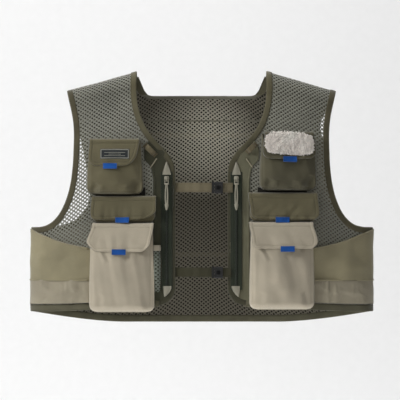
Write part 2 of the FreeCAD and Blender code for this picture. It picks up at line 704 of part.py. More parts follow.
def tape_arch(span, reach, width, thick):
    """Loop of tape standing out towards -Y from y 0, its opening along Z."""
    outer = [Vector(-span / 2 - 6, 0, 0), Vector(-span / 2, -thick, 0), Vector(0, -reach, 0),
             Vector(span / 2, -thick, 0), Vector(span / 2 + 6, 0, 0)]
    arc = Part.Arc(outer[1], outer[2], outer[3])
    inner = Part.Arc(Vector(span / 2 - thick, 0, 0), Vector(0, -reach + thick, 0),
                     Vector(-span / 2 + thick, 0, 0))
    lines = [Part.LineSegment(outer[0], outer[1]), arc, Part.LineSegment(outer[3], outer[4]),
             Part.LineSegment(outer[4], Vector(span / 2 - thick, 0, 0)), inner,
             Part.LineSegment(Vector(-span / 2 + thick, 0, 0), outer[0])]
    shape = Part.Face(Part.Wire([e.toShape() for e in lines])).extrude(Vector(0, 0, width))
    shape.translate(Vector(0, 0, -width / 2))
    return shape


TOOL_TAB = (97.5, -92.0)   # x and z of the middle
TOOL_TAB_SLANT = 45.0


def tool_tab(side):
    """Webbing loop between the neck edge and the chest pocket, set aslant."""
    x, z = TOOL_TAB
    arch = tape_arch(16, 8.5, 10, 1.4)
    arch.rotate(Vector(0, 0, 0), Vector(0, 1, 0), -TOOL_TAB_SLANT * side)
    spot = facing(x, z, -1)
    arch.translate(Vector(x * side, spot.y - FABRIC - 1.5, z))
    return arch


SLEEVE = (-84.3, -279.0, 10.4, 90.0, 8.0)   # x, top z, width, height, depth


def tool_sleeve():
    """Narrow mesh sleeve beside the left cargo pocket, open at its top."""
    x, z, width, height, depth = SLEEVE
    y = facing(x, z, -1).y - PLACKET_START - OVERLAY - 0.4
    outside = pouch(width, height, depth, depth, 3.5)
    inside = pouch(width - 2.4, height, depth - 2.4, depth - 2.4, 2.4)
    inside.translate(Vector(0, -1.2, 1.2))
    shape = outside.cut(inside)
    shape.translate(Vector(x, y, z))
    return shape


def sleeve_tape():
    x, z, width, _, depth = SLEEVE
    y = facing(x, z, -1).y - PLACKET_START - OVERLAY - 0.4
    return box(x - width / 2, x + width / 2, y - depth - 1.3, y - depth - 0.1, z - 10, z)


def back_y(z):
    return facing(0, z, 1).y + FABRIC


def back_pocket():
    """Wide shallow pocket across the back, hollow, with a slit for its zip."""
    width, height, depth = BACK_POCKET

    def surface(x, z):
        return facing(x, z, 1)
    z0 = BACK_POCKET_TOP_Z - height
    xs = spread(-width / 2, width / 2, 17)
    zs = spread(z0, BACK_POCKET_TOP_Z, 14)
    start = FABRIC + LAYER_GAP
    outside = sheet(surface, xs, zs, start, start + depth)
    rim = 1.6
    inner_xs = spread(-width / 2 + rim, width / 2 - rim, 17)
    inner_zs = spread(z0 + rim, BACK_POCKET_TOP_Z - rim, 14)
    inside = sheet(surface, inner_xs, inner_zs, start + rim, start + depth - rim)
    slit_z = BACK_POCKET_TOP_Z - BACK_ZIP_DROP
    slit = box(-BACK_ZIP_HALF, BACK_ZIP_HALF, back_y(slit_z) + depth / 2, 60,
               slit_z - 2.6, slit_z + 2.6)
    return outside.cut(inside).cut(slit)


def back_zip():
    """Two tapes of the back pocket's zip, apart at the slit, with a coil on each."""
    def surface(x, z):
        return facing(x, z, 1)
    slit_z = BACK_POCKET_TOP_Z - BACK_ZIP_DROP
    start = FABRIC + LAYER_GAP + BACK_POCKET[2] + 0.2
    tapes = []
    for side in (-1, 1):
        zs = spread(slit_z + side * 2.2, slit_z + side * 11, 3)
        xs = spread(-BACK_ZIP_HALF - 4, BACK_ZIP_HALF + 4, 17)
        tapes.append(sheet(surface, xs, zs, start, start + 1.0))
    return Part.makeCompound(tapes)


def back_slider():
    """Slider at the left end of the back zip, with its tag."""
    slit_z = BACK_POCKET_TOP_Z - BACK_ZIP_DROP
    x = -BACK_ZIP_TRAVEL / 2
    y = facing(0, slit_z, 1).y + FABRIC + LAYER_GAP + BACK_POCKET[2] + 1.2 + 0.5
    cap = box(x - 6, x + 6, y, y + 2.6, slit_z - 4.5, slit_z + 4.5)
    tag = box(x - 2.5, x + 2.5, y + 2.6, y + 5, slit_z - 30, slit_z + 3)
    return cap.fuse(tag).removeSplitter()


def hanger_loop():
    """Tape loop sewn behind the neck. The hook's opening is round the origin."""
    thick = 1.4
    foot_y = back_y(0) + 0.4
    outer_y = LOOP_REACH + thick
    half = LOOP_HALF
    points = [(half + 14, foot_y), (half + 14, foot_y + thick), (half + 3, foot_y + thick),
              (half + 2, outer_y), (-half - 2, outer_y), (-half - 3, foot_y + thick),
              (-half - 14, foot_y + thick), (-half - 14, foot_y), (-half, foot_y),
              (-half, LOOP_REACH), (half, LOOP_REACH), (half, foot_y)]
    wire = Part.makePolygon([Vector(x, y, -TAPE_WIDTH / 2) for x, y in points + points[:1]])
    return Part.Face(wire).extrude(Vector(0, 0, TAPE_WIDTH))


def ring_axis_y():
    return back_y(RING_BAR_Z - 5) + RING_TAB_GAP + RING_WIRE + 1.9


def ring_tab():
    """Folded webbing tab that holds the ring below the hanger loop."""
    y = back_y(RING_BAR_Z - 5) + RING_TAB_GAP
    tab = box(-7, 7, y, y + 1.4, RING_BAR_Z, RING_BAR_Z + RING_TAB_HIGH)
    axis_y = ring_axis_y()
    tube = Part.makeCylinder(RING_WIRE + 1.8, 14, Vector(-7, axis_y, RING_BAR_Z), Vector(1, 0, 0))
    hole = Part.makeCylinder(RING_WIRE + 0.4, 16, Vector(-8, axis_y, RING_BAR_Z), Vector(1, 0, 0))
    return tab.fuse(tube).cut(hole).removeSplitter()


def ring():
    """Metal D-ring hanging from its tab."""
    y = ring_axis_y()
    half = RING_WIDTH / 2
    top = [Vector(-half, y, RING_BAR_Z), Vector(half, y, RING_BAR_Z)]
    low = RING_BAR_Z - 6
    path = [Part.LineSegment(top[0], top[1]), Part.LineSegment(top[1], Vector(half, y, low)),
            Part.Arc(Vector(half, y, low), Vector(0, y, low - half), Vector(-half, y, low)),
            Part.LineSegment(Vector(-half, y, low), top[0])]
    shape = None
    for piece in path:
        edge = piece.toShape()
        start = edge.valueAt(edge.FirstParameter)
        along = edge.tangentAt(edge.FirstParameter)
        circle = Part.Wire(Part.makeCircle(RING_WIRE, start, along))
        tube = Part.Wire(edge).makePipeShell([circle], True, False)
        tube = tube.fuse(Part.makeSphere(RING_WIRE, start))
        shape = tube if shape is None else shape.fuse(tube)
    return shape.removeSplitter()


# ---- assembly --------------------------------------------------------------------------

def build():
    """Every sub-part, by node name."""
    nodes = {}
    yoke_gap = neck_cutter()
    nodes["back_panel"] = back_skin(-500, YOKE_SEAM_Z - 0.3, None)
    nodes["back_yoke"] = back_skin(YOKE_SEAM_Z + 0.3, 200, yoke_gap)
    nodes["back_neck_binding"] = back_neck_binding()
    nodes["hem_binding"] = hem_binding()
    pairs = {
        "front_panel": front_panel(),
        "front_binding": front_binding(),
        "side_panel": side_panel(SIDE_PANEL_TOP_Z, UNDERARM_Z - 14, SIDE_SEAM_Z + 0.3),
        "side_band": side_panel(SIDE_SEAM_Z - 0.3, SIDE_SEAM_Z - 0.3, FRONT_HEM_Z + HEM_WIDTH / 2 - 1),
        "zip_placket": front_layer(PLACKET_INNER_X, PLACKET_OUTER_X, ZIP_BOTTOM_Z - 2,
                                   ZIP_TOP_Z + 3, PLACKET_START, OVERLAY),
        "zip": zip_tape(),
    }
    for name, shape in pairs.items():
        nodes["right_" + name] = shape
        nodes["left_" + name] = mirrored(shape)
    nodes["right_armhole_binding"] = armhole_binding(BACK_ARM_LINES["right"])
    nodes["left_armhole_binding"] = mirrored(armhole_binding(BACK_ARM_LINES["left"]))
    covers = [garage(ZIP_TOP_Z + 0.5, 1), garage(ZIP_BOTTOM_Z - 0.5, -1)]
    nodes["zip_garages"] = Part.makeCompound(covers + [mirrored(c) for c in covers])
    for name in POCKETS:
        nodes[name + "_pocket"] = pocket_body(name)
        nodes[name + "_flap"] = flap(name)
        nodes[name + "_tab"] = pull_tab(name)
    nodes["chest_label"] = flap_patch("left_chest", LABEL_CENTRE[0], LABEL_CENTRE[1],
                                      LABEL_SIZE, 0.8, 2)
    nodes["fleece_patch"] = flap_patch("right_chest", 167.0, -22.0, FLEECE_SIZE,
                                       FLEECE_THICK, 6)
    for side, label in ((-1, "left"), (1, "right")):
        spot = Vector(ZIP_X * side, slider_spot(ZIP_X, ZIP_TOP_Z), ZIP_TOP_Z - SLIDER_DROP)
        body = slider(*SLIDER_SIZE)
        body.translate(spot)
        nodes[label + "_zip_slider"] = body
        tag = pull(PULL_LENGTH)
        tag.translate(spot + Vector(0, PULL_AXIS_Y, 0))
        nodes[label + "_zip_pull"] = tag
    nodes["upper_strap"] = strap(UPPER_STRAP_Z)
    nodes["lower_strap"] = strap(LOWER_STRAP_Z)
    nodes["upper_plug"] = plug(UPPER_STRAP_Z)
    nodes["lower_plug"] = plug(LOWER_STRAP_Z)
    nodes["upper_socket"] = socket(UPPER_STRAP_Z)
    nodes["lower_socket"] = socket(LOWER_STRAP_Z)
    webs = [socket_web(UPPER_STRAP_Z), socket_web(LOWER_STRAP_Z)]
    nodes["socket_webbing"] = Part.makeCompound(webs)
    nodes["tool_tabs"] = Part.makeCompound([tool_tab(-1), tool_tab(1)])
    nodes["tool_sleeve"] = tool_sleeve()
    nodes["tool_sleeve_tape"] = sleeve_tape()
    nodes["back_pocket"] = back_pocket()
    nodes["back_zip"] = back_zip()
    nodes["back_zip_slider"] = back_slider()
    nodes["hanger_loop"] = hanger_loop()
    nodes["ring_tab"] = ring_tab()
    nodes["net_ring"] = ring()
    return nodes


def main():
    os.makedirs("parts", exist_ok=True)
    for name, shape in build().items():
        solids = shape.Solids
        if not shape.isValid() or not solids:
            print("bad solid:", name, len(solids))
        shape.exportStep("parts/" + name + ".step")
        size = shape.BoundBox
        print(f"{name:22s} {len(solids)} solid, {shape.Volume / 1000:8.2f} cm3,",
              f"x {size.XMin:.1f}..{size.XMax:.1f} y {size.YMin:.1f}..{size.YMax:.1f}",
              f"z {size.ZMin:.1f}..{size.ZMax:.1f}")


main()
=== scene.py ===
import json
import math

import bpy
import numpy as np
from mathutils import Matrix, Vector


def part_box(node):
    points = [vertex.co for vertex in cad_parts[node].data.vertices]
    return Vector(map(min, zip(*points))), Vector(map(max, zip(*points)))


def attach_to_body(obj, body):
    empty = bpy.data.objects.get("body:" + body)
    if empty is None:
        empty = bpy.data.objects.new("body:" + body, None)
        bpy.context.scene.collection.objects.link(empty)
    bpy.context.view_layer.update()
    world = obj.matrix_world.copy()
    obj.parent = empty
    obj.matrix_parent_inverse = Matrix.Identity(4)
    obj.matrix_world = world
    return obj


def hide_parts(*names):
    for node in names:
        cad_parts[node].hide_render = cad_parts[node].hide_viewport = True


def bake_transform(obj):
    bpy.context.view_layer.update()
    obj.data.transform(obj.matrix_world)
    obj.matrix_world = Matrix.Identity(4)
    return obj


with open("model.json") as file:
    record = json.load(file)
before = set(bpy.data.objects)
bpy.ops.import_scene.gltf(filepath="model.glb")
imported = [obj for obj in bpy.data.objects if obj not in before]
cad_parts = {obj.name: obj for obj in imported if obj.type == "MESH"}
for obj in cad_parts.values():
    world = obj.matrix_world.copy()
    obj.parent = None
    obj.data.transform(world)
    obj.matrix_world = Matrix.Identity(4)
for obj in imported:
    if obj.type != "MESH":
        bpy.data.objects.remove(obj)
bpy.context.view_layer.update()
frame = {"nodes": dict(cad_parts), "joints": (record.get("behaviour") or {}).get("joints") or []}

# Looks of a mesh fishing vest. Shapes are worked out in millimetres in the CAD's frame,
# and make() turns them into metres. "left" is the -X side, and the front faces -Y.
# Lengths in capitals are in millimetres too, apart from the stage's, which are in metres.
MM = 0.001
SIDES = ((-1, "left"), (1, "right"))

# ---- body of the garment, the same as the CAD's --------------------------------------
HALF_WIDTH = 330.0
FOLD_POWER = 2.5
CHEST_DEPTH = 60.0
SHOULDER_DEPTH = 28.0
SHOULDER_RISE = 28.0
CHEST_DROP = 110.0
SHELL_Y = -56.0
NECKLINE_Z = 12.0
NECK_POINT = (125.5, 58.7)
SHOULDER_SLOPE = 0.276
CREST_SOFTENING = 30.0
SHOULDER_SEAM = 25.0
ARCH = SHOULDER_DEPTH * math.pi / 2
FRONT_EDGE_X = 51.0
FRONT_NECK_EDGE = [NECK_POINT, (126.5, 32), (123, -9), (109.5, -47), (91, -73), (65, -101),
                   (54, -121), (FRONT_EDGE_X, -145)]
CORNER_RADIUS = 34.0
FRONT_HEM_Z = -392.0
SIDE_HEM_Z = -404.0
BACK_HEM_Z = -426.0
BACK_HEM_LEVEL_X = 150.0
BACK_HEM_RISE = 1.6
UNDERARM_Z = -243.0
SHOULDER_POINT = (259.6, 21.7)
FRONT_ARMHOLE = [SHOULDER_POINT, (253.5, -5), (247.5, -35), (245.7, -86), (250.5, -153),
                 (263.8, -200), (280, -226), (300, -240), (318, UNDERARM_Z)]
BACK_ARMHOLES = {
    -1: [SHOULDER_POINT, (256.5, 3), (248.5, -24), (238, -58), (228, -100), (219, -150),
         (218, -190), (230, -216), (254, -234), (284, -242), (318, UNDERARM_Z)],
    1: [SHOULDER_POINT, (256, 3), (244, -15), (233, -32), (229.5, -48), (232, -62), (239, -76),
        (243.5, -110), (247.5, -153), (260, -199), (276.5, -225), (298, -239), (318, UNDERARM_Z)],
}
BACK_NECK_EDGE = [(0, NECKLINE_Z), (50, NECKLINE_Z), (92, NECKLINE_Z), (104.5, NECKLINE_Z + 2.5),
                  (111.5, NECKLINE_Z + 11), (117, NECKLINE_Z + 24), (122.5, NECKLINE_Z + 37)]
YOKE_SEAM_Z = -36.0
SIDE_SEAM_Z = -345.0
BINDING = 11.5
HEM = 13.0

# name: width, height, depth at the top and bottom, flap shift, flap width, flap length,
# tab shift, flap corner radii (-X, +X), how far the flap widens downwards (-X, +X),
# drop of the front wall below the hood
POCKETS = {
    "left_chest": (109, 104, 13, 30, -1.3, 97, 48, -8.0, 15, 24, 2, -5, 24),
    "right_chest": (110, 110, 13, 30, 1.6, 101, 48, 2.5, 12, 12, 4, 3, 24),
    "left_mid": (122, 48, 11, 15, 0.0, 125, 41, -1.4, 9, 18, 2, 0, 18),
    "right_mid": (130, 53, 11, 15, 0.0, 135, 47, -2.8, 14, 10, -4, 3, 18),
    "left_cargo": (125, 168, 18, 32, -2.7, 128, 51, -4.4, 20, 16, 11, -6, 26),
    "right_cargo": (125, 165, 18, 32, 1.7, 130, 47, 9.3, 10, 11, -5, 8, 26),
}
# ridge down a pocket's front: where it starts and ends as shares of the width, how steeply
# the cloth falls away right of it, and how far (mm)
RIDGES = {
    "left_chest": (0.12, 0.04, 0.2, 5.0),
    "right_chest": (-0.28, -0.34, 0.26, 5.0),
    "left_mid": (0.3, 0.3, 0.1, 1.5),
    "right_mid": (0.2, 0.2, 0.1, 2.0),
    "left_cargo": (0.06, 0.34, 0.7, 16.0),
    "right_cargo": (0.04, 0.34, 0.42, 11.0),
}
# folds in a pocket's front, as shares of its width and height: start, end, width, height (mm)
FOLDS = {
    "chest": [((0.0, 0.4), (0.42, 0.95), 0.13, -3.4), ((0.24, 0.3), (0.45, 0.8), 0.06, 1.4),
              ((-0.3, 0.45), (-0.2, 0.9), 0.1, 1.4),
              ((-0.42, 1.02), (-0.30, 0.8), 0.07, -6.0), ((0.32, 1.02), (0.44, 0.74), 0.08, -6.5),
              ((-0.24, 0.98), (-0.22, 0.82), 0.05, 2.0), ((0.22, 0.98), (0.2, 0.82), 0.06, 2.2),
              ((0.1, 0.98), (0.04, 0.82), 0.05, -1.4), ((-0.44, 0.35), (-0.4, 0.9), 0.06, 1.2)],
    "mid": [((-0.4, 0.6), (-0.3, 0.95), 0.05, -1.0)],
    "cargo": [((0.02, 0.24), (0.36, 0.97), 0.11, -4.6), ((0.3, 0.3), (0.45, 0.85), 0.08, 1.6),
              ((-0.12, 0.5), (0.1, 0.95), 0.10, 2.4),
              ((-0.32, 0.27), (-0.17, 0.42), 0.025, -2.2),
              ((-0.36, 0.26), (-0.24, 0.44), 0.03, 1.6),
              ((0.14, 0.27), (0.06, 0.41), 0.045, -2.4), ((0.34, 0.22), (0.3, 0.33), 0.03, -2.0),
              ((-0.34, 0.95), (-0.3, 0.8), 0.05, -1.8), ((0.4, 0.97), (0.33, 0.8), 0.05, -2.2),
              ((-0.42, 0.4), (-0.42, 0.9), 0.04, 1.4)],
}


# ---- surfaces ----------------------------------------------------------------------------

def smooth(t):
    t = np.clip(t, 0, 1)
    return t * t * (3 - 2 * t)


def fullness(x):
    """Depth of the horizontal section at x, as a share of its depth in the middle."""
    share = np.minimum(1, np.abs(x) / HALF_WIDTH)
    return (1 - share ** FOLD_POWER) ** (1 / FOLD_POWER)


def crest(x):
    return NECK_POINT[1] - SHOULDER_SLOPE * (np.hypot(x, CREST_SOFTENING) - NECK_POINT[0])


def shell(x, s):
    """Points of the garment's skin. s is the way down from the crest, negative in front."""
    x, s = np.broadcast_arrays(np.asarray(x, float), np.asarray(s, float))
    way = np.abs(s)
    turn = np.pi / 2 * np.minimum(way / ARCH, 1)
    below = SHOULDER_RISE + way - ARCH
    drop = np.where(way < ARCH, SHOULDER_RISE * (1 - np.cos(turn)), below)
    growth = smooth((drop - SHOULDER_RISE) / CHEST_DROP)
    wide = SHOULDER_DEPTH + (CHEST_DEPTH - SHOULDER_DEPTH) * growth
    depth = np.where(way < ARCH, SHOULDER_DEPTH * np.sin(turn), wide)
    side = np.where(s < 0, -1, 1)
    return np.stack([x, SHELL_Y + side * fullness(x) * depth, crest(x) - drop], -1)


def way_down(x, z, side):
    """The shell's s at height z, on the front (side -1) or the back (side 1)."""
    drop = np.maximum(0, crest(x) - z)
    turn = np.arccos(1 - np.minimum(drop / SHOULDER_RISE, 1))
    way = np.where(drop < SHOULDER_RISE, ARCH * turn / (np.pi / 2), ARCH + drop - SHOULDER_RISE)
    return side * way


def on_front(x, z):
    return shell(x, way_down(x, z, -1))


def on_back(x, z):
    return shell(x, way_down(x, z, 1))


def wrap(angle, z):
    """Points below the chest. The angle is 0 at the +X fold and 90 in mid front."""
    turn = np.radians(angle)
    return shell(HALF_WIDTH * np.cos(turn), way_down(HALF_WIDTH * np.cos(turn), z,
                                                     np.where(np.sin(turn) >= 0, -1, 1)))


def unit(v):
    return v / np.maximum(np.linalg.norm(v, axis=-1, keepdims=True), 1e-9)


def outward(surface, u, v):
    """Unit normals of surface(u, v), away from the inside of the garment."""
    step = 0.02
    normal = unit(np.cross(surface(u + step, v) - surface(u - step, v),
                           surface(u, v + step) - surface(u, v - step)))
    point = surface(u, v)
    inside = point * (0.9, 0, 1) + (0, SHELL_Y, -30)
    facing_in = np.sum(normal * (point - inside), -1, keepdims=True) < 0
    return np.where(facing_in, -normal, normal)


WAVES_SUMMED = 7


def way_along(line):
    """Distance along a polyline to each of its points."""
    return np.concatenate([[0], np.cumsum(np.linalg.norm(np.diff(line, axis=0), axis=1))])


def bell(x, wide):
    """1 at 0, falling smoothly to 0 beyond wide."""
    return np.exp(-(x / wide) ** 2)


def facing_front(count):
    """That many normals straight to the front."""
    return np.tile((0, -1.0, 0), (count, 1))


def box_of(node):
    """A CAD node's lowest and highest corners, in millimetres."""
    return [np.array(corner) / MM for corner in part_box(node)]


def waves(points, size, seed):
    """Smooth random waves through space, about -1 to 1, of that size in millimetres."""
    draw = np.random.default_rng(seed)
    total = np.zeros(points.shape[:-1])
    for _ in range(WAVES_SUMMED):
        direction = unit(draw.normal(size=3))
        length = size * draw.uniform(0.65, 1.6)
        total += np.sin(points @ direction * 2 * np.pi / length + draw.uniform(0, 2 * np.pi))
    return total / math.sqrt(WAVES_SUMMED)


STILL_TO_X = (70, 98)      # no folds below the first, so that the zips stay straight


def drape(points):
    """How far the hanging cloth stands off its even shape, in long and in short folds."""
    x, z = np.abs(points[..., 0]), points[..., 2]
    still = smooth((STILL_TO_X[1] - x) / (STILL_TO_X[1] - STILL_TO_X[0]))
    shoulder = smooth((z + 120) / 120)
    folds = waves(points * (1, 1, 0.45), 95, 3) * 1.7 + waves(points * (1, 1, 0.6), 42, 4) * 0.55
    return folds * (1 - still) * (1 - 0.45 * shoulder)


def lay(surface, u, v, lift=0.0):
    """Points lift millimetres off the draped cloth, and their normals."""
    u, v = np.broadcast_arrays(np.asarray(u, float), np.asarray(v, float))
    point = surface(u, v)
    normal = outward(surface, u, v)
    return point + normal * (lift + drape(point))[..., None], normal


# ---- lines ---------------------------------------------------------------------------------

def curve_through(points, spacing):
    """Evenly spaced points on a natural cubic spline through the given ones."""
    points = np.asarray(points, float)
    chord = np.linalg.norm(np.diff(points, axis=0), axis=1)
    t = np.concatenate([[0], np.cumsum(chord)])
    n = len(t)
    system = np.eye(n)
    right = np.zeros_like(points)
    for i in range(1, n - 1):
        system[i, i - 1:i + 2] = chord[i - 1], 2 * (chord[i - 1] + chord[i]), chord[i]
        right[i] = 6 * ((points[i + 1] - points[i]) / chord[i]
                        - (points[i] - points[i - 1]) / chord[i - 1])
    bend = np.linalg.solve(system, right)
    fine = np.linspace(0, t[-1], 40 * n)
    k = np.clip(np.searchsorted(t, fine, side="right") - 1, 0, n - 2)
    h, a, b = chord[k, None], (t[k + 1] - fine)[:, None], (fine - t[k])[:, None]
    line = (bend[k] * a ** 3 + bend[k + 1] * b ** 3) / (6 * h)
    line += (points[k] / h - bend[k] * h / 6) * a + (points[k + 1] / h - bend[k + 1] * h / 6) * b
    return even(line, spacing)


def even(line, spacing):
    """The polyline again, with evenly spaced points."""
    way = way_along(line)
    marks = np.linspace(0, way[-1], max(3, int(way[-1] / spacing) + 1))
    return np.stack([np.interp(marks, way, line[:, i]) for i in range(line.shape[1])], -1)


def shifted(line, amount):
    """The (x, z) line moved to the left of its direction."""
    along = unit(np.gradient(line, axis=0))
    return line + np.stack([-along[:, 1], along[:, 0]], -1) * amount


def flip(line):
    return line * (-1, 1)


def hem_height(x, side):
    front = FRONT_HEM_Z + (SIDE_HEM_Z - FRONT_HEM_Z) * smooth(np.abs(x) / HALF_WIDTH)
    past = np.clip((np.abs(x) - BACK_HEM_LEVEL_X) / (HALF_WIDTH - BACK_HEM_LEVEL_X), 0, 1)
    back = BACK_HEM_Z + (SIDE_HEM_Z - BACK_HEM_Z) * past ** BACK_HEM_RISE
    return np.where(np.asarray(side) < 0, front, back)


def front_edge_line():
    """Neck, front edge and rounded corner of the right front."""
    centre = np.array([FRONT_EDGE_X + CORNER_RADIUS, FRONT_HEM_Z + CORNER_RADIUS])
    turn = np.radians(np.linspace(180, 270, 16))
    arc = centre + CORNER_RADIUS * np.stack([np.cos(turn), np.sin(turn)], -1)
    line = np.concatenate([curve_through(FRONT_NECK_EDGE, 4), arc])
    return even(line, 3)


HEM_START_X = FRONT_EDGE_X + CORNER_RADIUS
FRONT_LINE = front_edge_line()
FRONT_ARM = curve_through(FRONT_ARMHOLE, 4)
BACK_ARM = {side: curve_through(line, 4) for side, line in BACK_ARMHOLES.items()}
BACK_NECK = curve_through([(-x, z) for x, z in BACK_NECK_EDGE[:0:-1]] + BACK_NECK_EDGE, 4)


# ---- mesh building ----------------------------------------------------------------------

def make(name, points, faces, uv, material):
    """Object from points and uv in millimetres. One uv for each point."""
    name = name + "_look" if name in frame["nodes"] else name
    mesh = bpy.data.meshes.new(name)
    faces = [list(map(int, f)) for f in faces]
    mesh.from_pydata((np.asarray(points) * MM).tolist(), [], faces)
    mesh.update()
    layer = mesh.uv_layers.new(name="cloth")
    corners = np.empty(len(mesh.loops), int)
    mesh.loops.foreach_get("vertex_index", corners)
    layer.data.foreach_set("uv", (np.asarray(uv, float)[corners] * MM).ravel())
    mesh.polygons.foreach_set("use_smooth", np.ones(len(mesh.polygons), bool))
    mesh.materials.append(material)
    piece = bpy.data.objects.new(name, mesh)
    bpy.context.scene.collection.objects.link(piece)
    return piece


def grid_faces(rows, columns, closed=False):
    """Quads of a grid of points. A closed one joins its last row to its first."""
    last = rows if closed else rows - 1
    i, j = np.meshgrid(np.arange(last), np.arange(columns - 1), indexing="ij")
    k = (i + 1) % rows
    quads = [i * columns + j, k * columns + j, k * columns + j + 1, i * columns + j + 1]
    return np.stack([q.ravel() for q in quads], -1)


def rim_of(rows, columns):
    """Indices round the edge of a grid, in order."""
    index = np.arange(rows * columns).reshape(rows, columns)
    return np.concatenate([index[:, 0], index[-1, 1:], index[-2::-1, -1], index[0, -2:0:-1]])


def slab(name, points, normals, uv, thick, material):
    """Closed sheet of cloth on a grid of points, with a rounded rim."""
    rows, columns = points.shape[:2]
    flat_points, flat_normals = points.reshape(-1, 3), unit(normals).reshape(-1, 3)
    top = flat_points + flat_normals * thick / 2
    low = flat_points - flat_normals * thick / 2
    rim = rim_of(rows, columns)
    ring = flat_points[rim]
    along = unit(np.roll(ring, -1, 0) - np.roll(ring, 1, 0))
    away = unit(np.cross(along, flat_normals[rim]))
    middle = ring.mean(0)
    if np.mean(np.sum(away * (ring - middle), -1)) < 0:
        away = -away
    edge = ring + away * thick * 0.45
    count = len(flat_points)
    faces = grid_faces(rows, columns)
    quads = [faces, faces[:, ::-1] + count]
    here, there = np.arange(len(rim)), np.roll(np.arange(len(rim)), -1)
    quads.append(np.stack([rim[here], rim[there], 2 * count + there, 2 * count + here], -1))
    quads.append(np.stack([2 * count + here, 2 * count + there, count + rim[there],
                           count + rim[here]], -1))
    flat_uv = np.asarray(uv, float).reshape(-1, 2)
    return make(name, np.concatenate([top, low, edge]), np.concatenate(quads),
                np.concatenate([flat_uv, flat_uv, flat_uv[rim]]), material)


def cloth_grid(name, surface, u, v, lift, thick, material, extra=None):
    """Sheet of cloth on surface(u, v), following the drape, with uv measured along it."""
    points, normals = lay(surface, u, v, lift)
    if extra is not None:
        points = points + normals * extra(points)[..., None]
    return slab(name, points, normals, measured(points), thick, material)


def measured(points):
    """uv in millimetres along the rows and columns of a grid of points."""
    down = np.linalg.norm(np.diff(points, axis=0), axis=-1).mean(1)
    across = np.linalg.norm(np.diff(points, axis=1), axis=-1).mean(0)
    u = np.concatenate([[0], np.cumsum(down)])
    v = np.concatenate([[0], np.cumsum(across)])
    return np.stack(np.meshgrid(u, v, indexing="ij"), -1)


def section(width, thick, count=16, across_power=0.45, through_power=0.75):
    """Round-edged flat section, as (across, through) pairs."""
    turn = np.linspace(0, 2 * np.pi, count, endpoint=False)
    across = np.sign(np.cos(turn)) * np.abs(np.cos(turn)) ** across_power * width / 2
    through = np.sign(np.sin(turn)) * np.abs(np.sin(turn)) ** through_power * thick / 2
    return np.stack([across, through], -1)


def sideways(points, normals, closed=False):
    """Directions across a path, on the cloth."""
    if closed:
        ahead = np.roll(points, -1, 0) - np.roll(points, 1, 0)
    else:
        ahead = np.gradient(points, axis=0)
    return unit(np.cross(normals, unit(ahead)))


def tape(name, points, normals, width, thick, material, closed=False, puff=0.0, seed=1):
    """Tape along a path, with rounded edges and closed ends."""
    across = sideways(points, normals, closed)
    shape = section(width, thick)
    rings = points[:, None] + across[:, None] * shape[None, :, :1]
    rings = rings + normals[:, None] * shape[None, :, 1:]
    if puff:
        swell = waves(rings, 14, seed) * puff
        rings = rings + normals[:, None] * swell[..., None] * np.sign(shape[None, :, 1:])
    rows, columns = rings.shape[:2]
    way = way_along(points)
    around = np.linspace(0, 2 * width, columns)
    uv = np.stack(np.meshgrid(way, around, indexing="ij"), -1).reshape(-1, 2)
    faces = tube_faces(rows, columns, closed)
    return make(name, rings.reshape(-1, 3), faces, uv, material)


def tube_faces(rows, columns, closed=False):
    """Faces round a row of rings, with end caps unless the row is closed."""
    last = rows if closed else rows - 1
    i, j = np.meshgrid(np.arange(last), np.arange(columns), indexing="ij")
    k, m = (i + 1) % rows, (j + 1) % columns
    quads = [i * columns + j, i * columns + m, k * columns + m, k * columns + j]
    faces = [list(q) for q in np.stack([q.ravel() for q in quads], -1)]
    if not closed:
        faces.append(list(range(columns))[::-1])
        faces.append([(rows - 1) * columns + c for c in range(columns)])
    return faces


def tube_rings(points, radii, sides):
    """Rings round a line of points."""
    points = np.asarray(points, float)
    along = unit(np.gradient(points, axis=0))
    side = unit(np.cross(along, [(0.3, 0.2, 1)] if abs(along[0, 2]) < 0.8 else [(0, 1, 0.1)]))
    up = unit(np.cross(side, along))
    turn = np.linspace(0, 2 * np.pi, sides, endpoint=False)
    radii = np.broadcast_to(np.asarray(radii, float), (len(points),))[:, None, None]
    return points[:, None] + radii * (side[:, None] * np.cos(turn)[None, :, None]
                                      + up[:, None] * np.sin(turn)[None, :, None])


def rod(points, radii, sides=8):
    """A round rod along a line of points, as a part for gather()."""
    return tube_rings(points, radii, sides), tube_faces(len(points), sides)


def gather(name, parts, material):
    """One object from (points, faces) parts, with uv from their own places."""
    points, faces, start = [], [], 0
    for part_points, part_faces in parts:
        part_points = np.asarray(part_points, float).reshape(-1, 3)
        points.append(part_points)
        faces += [[int(i) + start for i in f] for f in part_faces]
        start += len(part_points)
    points = np.concatenate(points)
    uv = points[:, [0, 2]] + points[:, 1:2]
    return make(name, points, faces, uv, material)


def at_distances(points, normals, distances):
    """Places, directions and normals at distances along a path."""
    way = way_along(points)

    def at(values, ahead=0.0):
        return np.stack([np.interp(distances + ahead, way, values[:, i]) for i in range(3)], -1)
    return at(points), unit(at(points, 0.5) - at(points, -0.5)), unit(at(normals))


STITCH_RING = [(math.cos(a), math.sin(a)) for a in np.radians((45, 135, 225, 315))]


